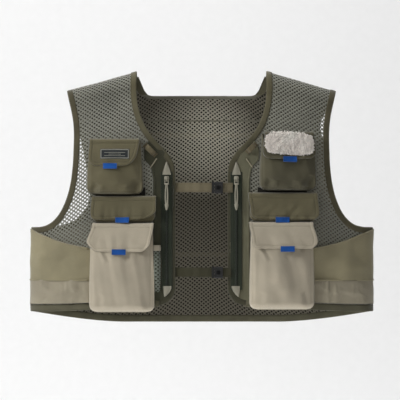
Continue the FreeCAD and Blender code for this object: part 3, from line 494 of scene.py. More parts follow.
def stitches(paths, pitch=3.2, share=0.68, wide=0.42, lift=0.1):
    """Rows of thread stitches on (points, normals) paths, as gather() parts."""
    parts = []
    for points, normals in paths:
        length = np.linalg.norm(np.diff(points, axis=0), axis=1).sum()
        if length < 2 * pitch:
            continue
        place, along, facing = at_distances(points, normals, np.arange(pitch / 2, length, pitch))
        across = np.cross(along, facing)
        half = pitch * share / 2
        rings = []
        for shift, size, sink in ((-half, 0.25, -0.35), (-half * 0.5, 1, 0), (half * 0.5, 1, 0),
                                  (half, 0.25, -0.35)):
            for c, s in STITCH_RING:
                rings.append(place + along * shift + across * c * wide * size
                             + facing * (lift + sink + s * wide * 0.8 * size))
        block = np.stack(rings, 1)
        faces = tube_faces(4, 4)
        for one in block:
            parts.append((one, faces))
    return parts


def sewn(name, paths, material, body, slot, **how):
    attach(gather(name, stitches(paths, **how), material), body, slot)


# ---- materials ------------------------------------------------------------------------------

class Shader:
    """A material's node tree, with a Principled shader at its end."""

    def __init__(self, name, roughness=0.8, **sockets):
        self.material = bpy.data.materials.new(name)
        self.material.use_nodes = True
        self.tree = self.material.node_tree
        self.surface = self.tree.nodes["Principled BSDF"]
        self.surface.inputs["Roughness"].default_value = roughness
        for socket, value in sockets.items():
            self.surface.inputs[socket.replace("_", " ")].default_value = value

    def node(self, kind, settings=None, **inputs):
        new = self.tree.nodes.new(kind)
        for key, value in (settings or {}).items():
            setattr(new, key, value)
        for key, value in inputs.items():
            socket = int(key[1:]) if key[1:].isdigit() else key.replace("_", " ")
            self.feed(new.inputs[socket], value)
        return new

    def feed(self, socket, value):
        """Links a socket's value to the socket, or sets a plain one."""
        if isinstance(value, bpy.types.NodeSocket):
            self.tree.links.new(value, socket)
        else:
            socket.default_value = value

    def math(self, operation, a, b=0.0):
        return self.node("ShaderNodeMath", {"operation": operation}, _0=a, _1=b).outputs[0]

    def times(self, a, b):
        return self.math("MULTIPLY", a, b)

    def plus(self, a, b):
        return self.math("ADD", a, b)

    def shaded(self, base, light):
        """The colour, made darker and lighter by a number."""
        grey = self.node("ShaderNodeCombineColor", _0=light, _1=light, _2=light)
        return self.mix(1.0, base, grey.outputs[0], "MULTIPLY")

    def noise(self, scale, detail=3.0, rough=0.55):
        place = self.node("ShaderNodeTexCoord").outputs["Object"]
        return self.node("ShaderNodeTexNoise", Vector=place, Scale=scale, Detail=detail,
                         Roughness=rough).outputs["Fac"]

    def colours(self, fac, *stops):
        ramp = self.node("ShaderNodeValToRGB", Fac=fac)
        ramp.color_ramp.elements[0].position = stops[0][0]
        ramp.color_ramp.elements[-1].position = stops[-1][0]
        ramp.color_ramp.elements[0].color = (*stops[0][1], 1)
        ramp.color_ramp.elements[-1].color = (*stops[-1][1], 1)
        for place, colour in stops[1:-1]:
            ramp.color_ramp.elements.new(place).color = (*colour, 1)
        return ramp.outputs["Color"]

    def mix(self, fac, a, b, blend="MIX"):
        node = self.node("ShaderNodeMix", {"data_type": "RGBA", "blend_type": blend})
        for socket, value in (("Factor", fac), (6, a), (7, b)):
            self.feed(node.inputs[socket], value)
        return node.outputs[2]

    def map_range(self, value, low, high, start=0.0, end=1.0):
        return self.node("ShaderNodeMapRange", Value=value, From_Min=start, From_Max=end,
                         To_Min=low, To_Max=high).outputs[0]

    def finish(self, colour, height, strength=0.4, distance=0.0004, roughness=None):
        bump = self.node("ShaderNodeBump", Height=height, Strength=strength, Distance=distance)
        self.tree.links.new(bump.outputs["Normal"], self.surface.inputs["Normal"])
        self.tree.links.new(colour, self.surface.inputs["Base Color"])
        if roughness is not None:
            self.tree.links.new(roughness, self.surface.inputs["Roughness"])
        return self.material


def linear(r, g, b):
    """Linear colour from 0-255 display values."""
    shares = (c / 255 for c in (r, g, b))
    return tuple(c / 12.92 if c <= 10 / 255 else ((c + 0.055) / 1.055) ** 2.4 for c in shares)


def scaled(colour, share):
    return tuple(min(1, c * share) for c in colour)


def threads(shader, size_u, size_v, slant=0.0):
    """Height of a plain weave, from uv in metres, and which thread lies on top."""
    place = shader.node("ShaderNodeTexCoord").outputs["UV"]
    split = shader.node("ShaderNodeSeparateXYZ", Vector=place)
    u = shader.times(split.outputs[0], math.pi / (size_u * MM))
    v = shader.times(split.outputs[1], math.pi / (size_v * MM))
    if slant:
        u = shader.plus(u, shader.times(v, slant))
    warp = shader.math("ABSOLUTE", shader.math("SINE", u))
    weft = shader.math("ABSOLUTE", shader.math("SINE", v))
    both = shader.times(shader.math("SINE", u), shader.math("SINE", v))
    over = shader.math("GREATER_THAN", both, 0.0)
    under = shader.math("SUBTRACT", 1.0, over)
    height = shader.plus(shader.times(warp, over),
                         shader.times(weft, under))
    return height, over


def edging(name, high, low):
    """Ribbed binding, light at the shoulder and darker towards the hem."""
    shader = Shader(name, Sheen_Weight=0.2, Specular_IOR_Level=0.25)
    place = shader.node("ShaderNodeTexCoord")
    split = shader.node("ShaderNodeSeparateXYZ", Vector=place.outputs["UV"])
    height = shader.node("ShaderNodeSeparateXYZ", Vector=place.outputs["Object"]).outputs[2]
    ribs = shader.math("SINE", shader.times(split.outputs[0], 2 * math.pi / (1.0 * MM)))
    cloud = shader.noise(35, 4)
    down = shader.node("ShaderNodeMapRange", Value=height, From_Min=0.03, From_Max=-0.2)
    base = shader.mix(down.outputs[0], (*high, 1), (*low, 1))
    base = shader.mix(shader.map_range(cloud, 0.0, 0.45), base, (*scaled(low, 0.7), 1))
    base = shader.mix(shader.map_range(ribs, 0.0, 0.16), base, (*scaled(high, 1.5), 1))
    relief = shader.plus(shader.times(ribs, 0.5), shader.noise(500, 2))
    return shader.finish(base, relief, 0.6, 0.0003, shader.map_range(cloud, 0.7, 0.92))


def woven(name, colour, thread=0.7, bump=0.35, sheen=0.25, mottle=0.16, crumple=0.0,
          thread_v=None, slant=0.0):
    """Woven cloth: threads, uneven dye, fine fuzz and, with crumple, small creases."""
    shader = Shader(name, Sheen_Weight=sheen, Sheen_Roughness=0.5, Specular_IOR_Level=0.25)
    height, over = threads(shader, thread, thread_v or thread, slant)
    cloud = shader.noise(22, 4)
    fuzz = shader.noise(900, 2)
    base = shader.colours(cloud, (0.3, scaled(colour, 1 - mottle)), (0.52, colour),
                          (0.72, scaled(colour, 1 + mottle)))
    base = shader.shaded(base, shader.map_range(height, 0.72, 1.08))
    base = shader.mix(shader.times(over, 0.07), base, (*scaled(colour, 1.35), 1))
    relief = shader.plus(shader.times(height, 0.7),
                         shader.times(fuzz, 0.3))
    if crumple:
        creases = shader.math("ABSOLUTE", shader.math("SUBTRACT", shader.noise(26, 3, 0.55), 0.5))
        small = shader.noise(90, 5, 0.6)
        relief = shader.plus(relief, shader.times(creases, crumple * 9))
        relief = shader.plus(relief, shader.times(small, crumple * 1.6))
    roughness = shader.map_range(cloud, 0.72, 0.95)
    return shader.finish(base, relief, bump, 0.0005, roughness)


def ribbed(name, colour, rib=1.1, bump=0.6, along=True):
    """Ribbed tape: ridges along or across, worn lighter on top."""
    shader = Shader(name, Sheen_Weight=0.2, Specular_IOR_Level=0.25)
    place = shader.node("ShaderNodeTexCoord").outputs["UV"]
    split = shader.node("ShaderNodeSeparateXYZ", Vector=place)
    ribs = shader.math("SINE", shader.times(split.outputs[0 if along else 1],
                                           2 * math.pi / (rib * MM)))
    fine = shader.math("SINE", shader.times(split.outputs[1 if along else 0],
                                           2 * math.pi / (0.55 * MM)))
    cloud = shader.noise(35, 4)
    relief = shader.plus(shader.times(ribs, 0.5), shader.times(fine, 0.2))
    relief = shader.plus(relief, shader.noise(500, 2))
    base = shader.colours(cloud, (0.3, scaled(colour, 0.78)), (0.7, scaled(colour, 1.2)))
    wear = shader.map_range(ribs, 0.0, 0.22)
    base = shader.mix(wear, base, (*scaled(colour, 1.7), 1))
    return shader.finish(base, relief, bump, 0.0003, shader.map_range(cloud, 0.7, 0.92))


def moulded(name, colour, rough):
    """Moulded plastic or rubber with a fine grain and rubbed edges."""
    shader = Shader(name)
    cloud = shader.noise(60, 4)
    fine = shader.noise(1200, 2)
    edge = shader.node("ShaderNodeNewGeometry").outputs["Pointiness"]
    worn = shader.colours(edge, (0.5, (0, 0, 0)), (0.62, (1, 1, 1)))
    base = shader.colours(cloud, (0.3, scaled(colour, 0.85)), (0.7, scaled(colour, 1.12)))
    base = shader.mix(shader.times(worn, 0.35), base, (*scaled(colour, 1.9), 1))
    return shader.finish(base, fine, 0.15, 0.0002, shader.map_range(cloud, *rough))


def shade_field(shader, centre, reach):
    """0 to 1 away from a place (metres) in the object's space."""
    place = shader.node("ShaderNodeTexCoord").outputs["Object"]
    away = shader.node("ShaderNodeVectorMath", {"operation": "DISTANCE"}, _0=place, _1=centre)
    wobble = shader.times(shader.noise(9, 2), reach * 0.5)
    return shader.math("DIVIDE", shader.plus(away.outputs["Value"], wobble), reach)


def knitted(name, colour, low=None):
    """Warp-knit mesh: bright filament with fine loops along each strand. low is its colour
    far from the middle of the back: painted shade deeper in the garment, with painted light in the
    middle."""
    shader = Shader(name, Sheen_Weight=0.3, Sheen_Roughness=0.4, Specular_IOR_Level=0.35)
    cloud = shader.noise(14, 4)
    loops, _ = threads(shader, 0.62, 0.9, 0.5)
    base = shader.colours(cloud, (0.28, scaled(colour, 0.86)), (0.5, colour),
                          (0.72, scaled(colour, 1.12)))
    if low:
        # painted light in the middle of the back, painted shade away from it
        away = shade_field(shader, (0, 0.055, -0.07), 0.045)
        base = shader.mix(shader.map_range(away, 0.0, 1.0, 1.2, 3.2), base, (*low, 1))
    base = shader.shaded(base, shader.map_range(loops, 0.7, 1.1))
    relief = shader.plus(loops, shader.times(shader.noise(1400, 2), 0.4))
    return shader.finish(base, relief, 0.5, 0.0003, shader.map_range(cloud, 0.55, 0.8))


def brushed_metal(name, colour):
    shader = Shader(name, Metallic=1.0)
    place = shader.node("ShaderNodeTexCoord").outputs["Object"]
    stretched = shader.node("ShaderNodeMapping", Vector=place, Scale=(40, 900, 900))
    lines = shader.node("ShaderNodeTexNoise", Vector=stretched.outputs[0], Scale=2.0, Detail=4.0)
    cloud = shader.noise(80, 3)
    base = shader.colours(cloud, (0.3, scaled(colour, 0.75)), (0.7, colour))
    rough = shader.map_range(cloud, 0.25, 0.45)
    return shader.finish(base, lines.outputs["Fac"], 0.1, 0.0001, rough)


MESH = knitted("mesh_knit", linear(136, 136, 124))
# back mesh: lighter strands in the middle of the back as painted light, darker towards its sides
# and hem as painted shade
BACK_MESH_PAINTED_SHADING = knitted("back_mesh_knit", linear(200, 196, 178), linear(110, 105, 91))
SLEEVE_MESH = knitted("sleeve_knit", linear(118, 124, 112))
BINDING_CLOTH = ribbed("binding_tape", linear(80, 75, 56), 1.0)
HEM_CLOTH = ribbed("hem_tape", linear(90, 87, 69), 1.0)
EDGING = edging("front_edging", linear(104, 98, 74), linear(58, 57, 42))
OLIVE = woven("olive_cloth", linear(103, 97, 73), 0.6, mottle=0.14, crumple=0.9)
# darker copy of the olive cloth: painted shade, for the right chest pocket and the neck facings
OLIVE_PAINTED_SHADE = woven("olive_worn_cloth", linear(89, 85, 66), 0.6, mottle=0.14, crumple=0.9)
STONE = woven("stone_cloth", linear(184, 174, 154), 0.6, mottle=0.09, crumple=0.9)
KHAKI = woven("khaki_cloth", linear(148, 140, 112), 0.65, mottle=0.12, crumple=0.9)
BAND = woven("band_cloth", linear(158, 150, 130), 0.65, mottle=0.1, crumple=1.2)
PLACKET = woven("placket_cloth", linear(60, 60, 44), 0.6, mottle=0.15, crumple=0.9)
PLACKET_PALE = woven("placket_pale_cloth", linear(106, 104, 83), 0.6, mottle=0.15, crumple=0.9)
ZIP_CLOTH = ribbed("zip_tape_cloth", linear(40, 46, 34), 1.3, 0.4, along=False)
COIL = moulded("zip_coil", linear(40, 46, 36), (0.35, 0.5))
PALE = moulded("pale_moulding", linear(146, 142, 126), (0.5, 0.7))
LIGHT_WEBBING = woven("light_webbing", linear(114, 106, 84), 1.5, 0.8, 0.15, 0.1,
                      thread_v=1.1, slant=0.5)
DARK_WEBBING = woven("dark_webbing", linear(62, 60, 42), 1.5, 0.8, 0.15, 0.12,
                     thread_v=1.1, slant=0.5)
TAB_WEBBING = woven("tab_webbing", linear(104, 95, 72), 1.3, 0.8, 0.15, 0.12,
                    thread_v=1.0, slant=0.5)
BLACK = moulded("buckle_plastic", linear(16, 16, 15), (0.5, 0.7))
BLUE = ribbed("blue_tape", linear(12, 76, 152), 0.9, 0.7)
FLEECE = woven("fleece_pile", linear(255, 247, 238), 0.8, 0.3, 1.0, 0.04)
LABEL = woven("label_cloth", linear(44, 48, 50), 0.45, 0.5)
LABEL_EDGE = ribbed("label_edge", linear(138, 138, 128), 0.7)
MESH_TRIM = woven("mesh_trim", linear(112, 110, 96), 0.9, 0.5)
LINING = woven("back_lining", linear(36, 34, 28), 0.8, 0.3, 0.1, 0.35)
THREAD_DARK = ribbed("dark_thread", linear(58, 55, 40), 0.5)
THREAD_LIGHT = ribbed("light_thread", linear(150, 142, 120), 0.5)
STEEL = brushed_metal("ring_steel", linear(190, 190, 186))


def attach(piece, body, slot, *nodes):
    """Rides the piece on a body and hides the CAD nodes it stands for.
    slot is not used.
    """
    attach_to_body(piece, body)
    if nodes:
        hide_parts(*nodes)


# ---- open mesh ---------------------------------------------------------------------------

CELL_WIDE = 8.8      # from hole to hole along a row
CELL_HIGH = 3.76     # from row to row, every second row set over by half
HOLE = (2.04, 1.87)   # half of a hole, across and down
CORNERS = ((2, 0), (1, 1), (0, 2), (-1, 1), (-2, 0), (-1, -1), (0, -2), (1, -1))


def inside(outline, x, z):
    """Which of the points lie inside the closed (x, z) outline."""
    x0, z0 = outline[:, 0], outline[:, 1]
    x1, z1 = np.roll(x0, -1), np.roll(z0, -1)
    hit = np.zeros(x.shape, bool)
    for a, b, c, d in zip(x0, z0, x1, z1):
        if b == d:
            continue
        crosses = (b > z) != (d > z)
        hit ^= crosses & (x < (c - a) * (z - b) / (d - b) + a)
    return hit


def arc_table():
    """Way along the horizontal section for x from 0 to the fold."""
    x = HALF_WIDTH * np.sin(np.linspace(0, np.pi / 2 - 0.004, 900))
    y = CHEST_DEPTH * fullness(x)
    way = np.concatenate([[0], np.cumsum(np.hypot(np.diff(x), np.diff(y)))])
    return x, way


ARC_X, ARC_WAY = arc_table()


def x_at(way):
    """x at a way along the horizontal section, from the middle."""
    return np.sign(way) * np.interp(np.abs(way), ARC_WAY, ARC_X)


def thickened(points, normals, quads, uv, thick):
    """Points, faces and uv of a closed skin round a sheet of quads."""
    count = len(points)
    edges = np.concatenate([quads[:, [0, 1]], quads[:, [1, 2]], quads[:, [2, 3]], quads[:, [3, 0]]])
    _, first, uses = np.unique(np.sort(edges, 1), axis=0, return_index=True, return_counts=True)
    rim = edges[first[uses == 1]]
    walls = np.stack([rim[:, 1], rim[:, 0], rim[:, 0] + count, rim[:, 1] + count], -1)
    half = normals * (np.asarray(thick) / 2).reshape(-1, 1)
    return (np.concatenate([points + half, points - half]),
            np.concatenate([quads, quads[:, ::-1] + count, walls]), np.concatenate([uv, uv]))


def net(name, place, keep, a_range, b_range, thick, material):
    """Knitted mesh with real holes. place(a, b) gives points and normals of the flat cloth's
    (a, b), and keep(a, b) says which cells belong to the piece."""
    half = CELL_WIDE / 2
    m, j = np.meshgrid(np.arange(int(a_range[0] / half), int(a_range[1] / half) + 1),
                       np.arange(int(b_range[0] / CELL_HIGH), int(b_range[1] / CELL_HIGH) + 1))
    m, j = m.ravel(), j.ravel()
    even_cells = (m + j) % 2 == 0
    m, j = m[even_cells], j[even_cells]
    chosen = keep(m * half, j * CELL_HIGH)
    m, j = m[chosen], j[chosen]
    keys = np.stack([np.stack([2 * m + du, 2 * j + dv], -1) for du, dv in CORNERS], 1)
    corners, index = np.unique(keys.reshape(-1, 2), axis=0, return_inverse=True)
    ring = index.reshape(-1, 8)
    turn = np.arctan2([c[1] for c in CORNERS], [c[0] for c in CORNERS])
    holes_a = (m * half)[:, None] + HOLE[0] * np.cos(turn)
    holes_b = (j * CELL_HIGH)[:, None] + HOLE[1] * np.sin(turn)
    a = np.concatenate([corners[:, 0] * half / 2, holes_a.ravel()])
    b = np.concatenate([corners[:, 1] * CELL_HIGH / 2, holes_b.ravel()])
    hole = len(corners) + np.arange(len(m) * 8).reshape(-1, 8)
    quads = []
    for k in range(8):
        n = (k + 1) % 8
        quads.append(np.stack([ring[:, k], ring[:, n], hole[:, n], hole[:, k]], -1))
    quads = np.concatenate(quads)
    points, normals = place(a, b)
    uv = np.stack([a, b], -1)
    if thick:
        strand = np.where(np.arange(len(a)) < len(corners), 1.25, 0.8) * thick
        points, quads, uv = thickened(points, normals, quads, uv, strand)
    cut = (np.ptp(m) * half + CELL_WIDE, np.ptp(j) * CELL_HIGH + CELL_HIGH)
    one_hole = 2 * math.sqrt(2) * HOLE[0] * HOLE[1]
    area = len(m) * (CELL_WIDE * CELL_HIGH - one_hole) * MM * MM
    return make(name, points, quads, uv, material), cut, area


def declare_grid(surface, u, v):
    """Works out a cloth grid's points on the surface; nothing more is done with them."""
    points = surface(u, v)


def front_outline():
    """Closed (x, z) outline of the right front, at the middle of its bindings."""
    inner = shifted(FRONT_LINE, 5)
    hem_x = np.linspace(HEM_START_X + 6, 360, 30)
    hem = np.stack([hem_x, hem_height(hem_x, -1) + 6], -1)
    arm = shifted(FRONT_ARM, -5)
    arm = arm[arm[:, 0] < 318]
    top = [[inner[0, 0], 120]]
    side = [[360, UNDERARM_Z - 5]]
    return np.concatenate([top, inner[:-1], hem, side, arm[::-1], [[arm[0, 0], 120]]])


def front_mesh(side, name):
    outline = front_outline()

    def keep(a, b):
        x = np.interp(a, ARC_WAY, ARC_X)
        z = shell(x, b)[:, 2]
        return inside(outline, x, z) & (b < SHOULDER_SEAM - 2)

    def place(a, b):
        x = np.interp(a, ARC_WAY, ARC_X)
        return lay(shell, x * side, b)
    piece, cut, area = net(name, place, keep, (30, ARC_WAY[-1]), (-520, SHOULDER_SEAM), 0.55, MESH)
    attach(piece, "vest", "mesh", name)


def under_back_pocket(x, z):
    return (np.abs(x) < 146) & (z < -70) & (z > -290)


def back_outline():
    """Closed (x, z) outlines of the back, and of its neck opening, inside their bindings."""
    hem_x = np.linspace(360, 0, 40)
    hem = np.stack([hem_x, hem_height(hem_x, 1) + 6], -1)
    halves = []
    for side in (1, -1):
        arm = shifted(BACK_ARM[side], -5)
        arm = arm[arm[:, 0] < 318]
        halves.append(np.concatenate([[[arm[0, 0], 120]], arm, [[360, UNDERARM_Z - 5]], hem]))
    hole = np.concatenate([[[-NECK_POINT[0] - 5, 130]], shifted(BACK_NECK, -3.5),
                           [[NECK_POINT[0] + 5, 130]]])
    return np.concatenate([halves[0], flip(halves[1])[::-1]]), hole


def back_mesh(name, top_z, low_z, thick, lift=0.0, skip=None):
    """Mesh of the back between two heights. skip(x, z) says where it isn't needed."""
    edge, hole = back_outline()

    def keep(a, b):
        x = x_at(a)
        z = shell(x, b)[:, 2]
        good = inside(edge, x, z) & (z > low_z) & (z < top_z) & (b > SHOULDER_SEAM + 2)
        good &= ~inside(hole, x, z)
        return good & ~skip(x, z) if skip else good

    def place(a, b):
        return lay(shell, x_at(a), b, lift)
    way = ARC_WAY[-1]
    piece, cut, area = net(name, place, keep, (-way, way), (SHOULDER_SEAM, 560), thick, BACK_MESH_PAINTED_SHADING)
    attach(piece, "vest", "mesh", *([name] if name in frame["nodes"] else []))


# ---- bindings ----------------------------------------------------------------------------

def path_on(surface, line, lift=0.3):
    return lay(surface, line[:, 0], line[:, 1], lift)


def front_binding(side, name):
    """Folded tape from the shoulder seam down the neck and the front edge, round the corner."""
    line = shifted(FRONT_LINE, BINDING / 2 - 0.8)
    behind = np.linspace(SHOULDER_SEAM, 4, 8)
    points, normals = path_on(on_front, line * (side, 1))
    back_points, back_normals = lay(shell, np.full(8, line[0, 0] * side), behind, 0.3)
    points = np.concatenate([back_points, points])
    normals = np.concatenate([back_normals, normals])
    piece = tape(name, points, normals, BINDING, 3.0, EDGING, puff=0.22, seed=11)
    attach(piece, "vest", "binding", name)
    return points, normals


def armhole_path(side):
    low = UNDERARM_Z - BINDING / 2 + 0.8
    front = shifted(FRONT_ARM, 0.8 - BINDING / 2)
    back = shifted(BACK_ARM[side], 0.8 - BINDING / 2)
    front, back = front[front[:, 0] < 310][::-1], back[back[:, 0] < 310]
    turn = np.linspace(0, 18.5, 14)

    def below(angle):
        return lay(wrap, angle if side > 0 else 180 - angle, low, 0.3)
    pieces = [below(turn), lay(on_front, front[:, 0] * side, front[:, 1], 0.3),
              lay(on_back, back[1:, 0] * side, back[1:, 1], 0.3), below(-turn[:0:-1])]
    points = np.concatenate([p for p, _ in pieces])
    normals = np.concatenate([n for _, n in pieces])
    return smoothed_loop(points, normals)


def smoothed_loop(points, normals):
    """Evenly spaced and lightly smoothed closed path."""
    both = np.concatenate([points, normals], 1)
    both = np.concatenate([both, both[:1]])
    way = way_along(both[:, :3])
    marks = np.arange(0, way[-1], 3.0)
    both = np.stack([np.interp(marks, way, both[:, i]) for i in range(6)], -1)
    for _ in range(4):
        both = (np.roll(both, 1, 0) + 2 * both + np.roll(both, -1, 0)) / 4
    return both[:, :3], unit(both[:, 3:])


def beside(points, normals, amount, closed=False):
    """The path moved sideways on the cloth, and raised to a binding's face."""
    across = sideways(points, normals, closed)
    return points + across * amount + normals * 1.5, normals


def patch_cloth(name, place, keep, a_range, b_range, cell, thick, material):
    """Closed cloth of small squares: those whose middles keep(a, b) accepts."""
    i, j = np.meshgrid(np.arange(int(a_range[0] / cell), int(a_range[1] / cell)),
                       np.arange(int(b_range[0] / cell), int(b_range[1] / cell)))
    i, j = i.ravel(), j.ravel()
    chosen = keep((i + 0.5) * cell, (j + 0.5) * cell)
    i, j = i[chosen], j[chosen]
    square = ((0, 0), (1, 0), (1, 1), (0, 1))
    keys = np.stack([np.stack([i + di, j + dj], -1) for di, dj in square], 1)
    corners, index = np.unique(keys.reshape(-1, 2), axis=0, return_inverse=True)
    spots = corners * cell
    points, normals = place(spots[:, 0], spots[:, 1])
    points, faces, uv = thickened(points, normals, index.reshape(-1, 4), spots, thick)
    return make(name, points, faces, uv, material), len(i) * cell * cell * MM * MM


def back_lining():
    """Dark closed cloth over the outside of the wearer's mesh, across the back and the yoke."""
    edge, hole = back_outline()

    def keep(a, b):
        x = x_at(a)
        z = shell(x, b)[:, 2]
        return inside(edge, x, z) & ~inside(hole, x, z) & (b > -4)

    def place(a, b):
        lift = 2.9 * smooth((b - SHOULDER_SEAM + 6) / 12) - 1.4
        return lay(shell, x_at(a), b, lift)
    way = ARC_WAY[-1]
    piece, area = patch_cloth("back_lining", place, keep, (-way, way), (-10, 560), 3.5, 0.4, LINING)
    attach(piece, "vest", "mesh")


def neck_facings():
    """Closed facing on the inside of the back neck's rising ends."""
    for side, label in SIDES:
        line = even(np.array(BACK_NECK_EDGE)[3:], 3)
        share = np.linspace(0, 1, 10)
        x = (line[:, :1] + 20 * share * (1 - 0.25 * share)) * side
        z = np.broadcast_to(line[:, 1:], x.shape)
        # the facings take the darker olive copy: painted shade
        piece = cloth_grid(f"neck_facing_{label}", on_back, x, z, -1.0, 0.8, OLIVE_PAINTED_SHADE)
        attach(piece, "vest", "mesh")
        declare_grid(on_back, x, z)


def build_shell():
    """Mesh panels, bindings, seams and their stitching."""
    seams, light_seams = [], []
    back_lining()
    neck_facings()
    for side, label in ((-1, "left_"), (1, "right_")):
        front_mesh(side, label + "front_panel")
        points, normals = front_binding(side, label + "front_binding")
        seams.append(beside(points, normals, 4.2 * side))
        points, normals = armhole_path(side)
        piece = tape(label + "armhole_binding", points, normals, BINDING, 3.0, BINDING_CLOTH,
                     closed=True, puff=0.22, seed=12)
        attach(piece, "vest", "binding", label + "armhole_binding")
        light_seams.append(beside(points, normals, -4.3 * side, True))
        x = np.linspace(131, 252, 30) * side
        points, normals = lay(shell, x, np.full(30, SHOULDER_SEAM), 0.4)
        piece = tape(label + "shoulder_seam", points, normals, 9, 1.6, BINDING_CLOTH)
        attach(piece, "vest", "binding")
    back_mesh("back_panel", YOKE_SEAM_Z, -500, 0.0)
    back_mesh("back_yoke", 200, YOKE_SEAM_Z, 0.5)
    back_mesh("back_outer_mesh", 200, -500, 0.0, 2.1, under_back_pocket)
    x = np.linspace(-232, 232, 110)
    points, normals = lay(on_back, x, np.full(110, YOKE_SEAM_Z), 0.3)
    attach(tape("yoke_seam", points, normals, 3, 1.6, MESH_TRIM), "vest", "mesh")
    points, normals = path_on(on_back, shifted(BACK_NECK, -2.8))
    piece = tape("back_neck_binding", points, normals, 6.5, 2.6, MESH_TRIM, puff=0.2, seed=13)
    attach(piece, "vest", "mesh", "back_neck_binding")
    first = math.degrees(math.acos((HEM_START_X - 4) / HALF_WIDTH))
    turn = np.linspace(first, -180 - first, 420)
    x = HALF_WIDTH * np.cos(np.radians(turn))
    z = hem_height(x, np.where(np.sin(np.radians(turn)) > 0, -1, 1)) + HEM / 2 - 0.8
    points, normals = lay(wrap, turn, z, 0.3)
    piece = tape("hem_binding", points, normals, HEM, 3.2, HEM_CLOTH, puff=0.28, seed=14)
    attach(piece, "vest", "binding", "hem_binding")
    seams.append(beside(points, normals, 4.8))
    seams.append(beside(points, normals, -4.8))
    sewn("binding_stitching", seams, THREAD_DARK, "vest", "binding", pitch=4.0)
    sewn("armhole_stitching", light_seams, THREAD_LIGHT, "vest", "binding", pitch=4.0)


# ---- side panels -----------------------------------------------------------------------

SIDE_INNER_X = 212.0       # where the side cloth starts, under the pockets
POCKET_EDGE_X = 219.0      # where it comes out from under them
SIDE_TOP_Z = -282.0        # its top edge there
SIDE_RISE = 36.0           # and how much higher that is at the side fold


def over_back_mesh(turn):
    """How far the cloth round the side stands out, in mm, to clear the back's outer mesh."""
    return 1.7 * smooth(-turn / 15)


def side_cloth(side, name, z_top, z_low, material, slot, crinkle):
    """Cloth sewn over the mesh round the side fold, from pocket to pocket."""
    reach = math.degrees(math.acos(SIDE_INNER_X / HALF_WIDTH))
    turn = np.linspace(-reach, reach, 150)
    share = np.linspace(0, 1, 50)
    x = HALF_WIDTH * np.cos(np.radians(turn))
    face = np.where(turn > 0, -1, 1)
    low = np.full_like(x, z_low) if z_low is not None else hem_height(x, face) + HEM + 1
    high = z_top(x)
    v = high[:, None] + (low - high)[:, None] * share[None]
    u = np.broadcast_to(turn[:, None], v.shape)
    if side < 0:
        u = 180 - u
    lift = 1.6 + over_back_mesh(turn)[:, None]
    piece = cloth_grid(name, wrap, u, v, lift, 1.0, material, crinkle)
    attach(piece, "vest", slot, name)


def panel_top(x):
    """Top edge of a side panel, rising from the pocket to the side fold."""
    share = (np.abs(x) - POCKET_EDGE_X) / (HALF_WIDTH - POCKET_EDGE_X)
    return SIDE_TOP_Z + SIDE_RISE * share - 5 * np.sin(np.pi * np.clip(share, 0, 1))


def puckers(points):
    """Gathers that run down from the panel's top edge and from its pocket side."""
    x, z = points[..., 0], points[..., 2]
    gather_in = smooth((z + 330) / 60)
    run = waves(points * (1, 1, 0.12), 30, 21) * 1.5 * (0.4 + 0.6 * gather_in)
    sag = waves(points * (0.45, 0.6, 1), 60, 22) * 2.4
    near_pocket = bell(np.abs(x) - POCKET_EDGE_X, 26)
    near_fold = smooth((np.abs(x) - 285) / 35) * bell(z + 310, 40)
    fold = near_fold * waves(points * (0.5, 0.5, 1), 26, 26) * 1.5
    return above_mesh(run + sag + fold + near_pocket * waves(points * (0.3, 1, 1), 24, 23) * 1.6, x)


def crinkles(points):
    """Crumpled lower band: slanting folds, and gathers near both of its seams."""
    x, z = np.abs(points[..., 0]), points[..., 2]
    level = waves(points * (0.3, 0.3, 1), 21, 24) * 0.8
    low = (1.4 - np.abs(waves(points * (1, 1, 0.22), 24, 25)) * 2.2) * bell(z + 388, 15)
    high = (1.6 - np.abs(waves(points * (1, 1, 0.3), 26, 28)) * 2.6) * bell(z + 357, 14)
    high = high * (0.25 + bell(x - 240, 26))
    slanting = (1.2 - np.abs(waves(points * (0.8, 0.8, 1.4), 62, 27)) * 2.4) * 1.2
    return above_mesh(level + 1.3 * low + 1.3 * high + slanting, x)


def above_mesh(relief, x):
    """Keeps relief from going down through the mesh below, and calms it at the side fold."""
    calm = 1 - 0.9 * smooth((np.abs(x) - 306) / 18)
    return np.log1p(np.exp((relief + 1.0) * 2.5)) / 2.5 * calm + 1 - calm


def build_sides():
    paths = []
    for side, label in ((-1, "left_"), (1, "right_")):
        side_cloth(side, label + "side_panel", panel_top, SIDE_SEAM_Z, KHAKI, "side_khaki", puckers)
        side_cloth(side, label + "side_band", lambda x: np.full_like(x, SIDE_SEAM_Z + 1), None,
                   BAND, "side_band", crinkles)
        turn = np.linspace(-49, 49, 90)
        x = HALF_WIDTH * np.cos(np.radians(turn))
        angle = 180 - turn if side < 0 else turn
        seam_z = np.full(90, SIDE_SEAM_Z + 1.0)
        points, normals = lay(wrap, angle, seam_z, 3.6 + over_back_mesh(turn))
        attach(tape(label + "side_seam", points, normals, 3.2, 1.4, KHAKI, puff=0.15), "vest",
               "side_khaki")
        paths.append(lay(wrap, angle, panel_top(x) - 5, 3.4 + over_back_mesh(turn)))
        points, normals = lay(wrap, angle, panel_top(x) - 1, 2.4 + over_back_mesh(turn))
        attach(tape(label + "side_top_hem", points, normals, 3.5, 1.8, KHAKI, puff=0.15), "vest",
               "side_khaki")
    sewn("side_stitching", paths, THREAD_LIGHT, "vest", "side_khaki")


# ---- pockets ---------------------------------------------------------------------------------

HINGES = {j["name"]: j for j in frame["joints"]}
POUCH_POWER = {"chest": 0.56, "mid": 0.46, "cargo": 0.44}      # squareness of its section
POUCH_TAPER = {"chest": 0.09, "mid": 0.045, "cargo": 0.045}    # how much narrower at its top
FLAP_BEVEL = {"chest": 1.7, "mid": 1.7, "cargo": 1.35}         # roundness of its corners
HEM_RIDGE, HEM_STITCH, SIDE_STITCH = 3.2, 6.2, 2.2             # from a flap's edge


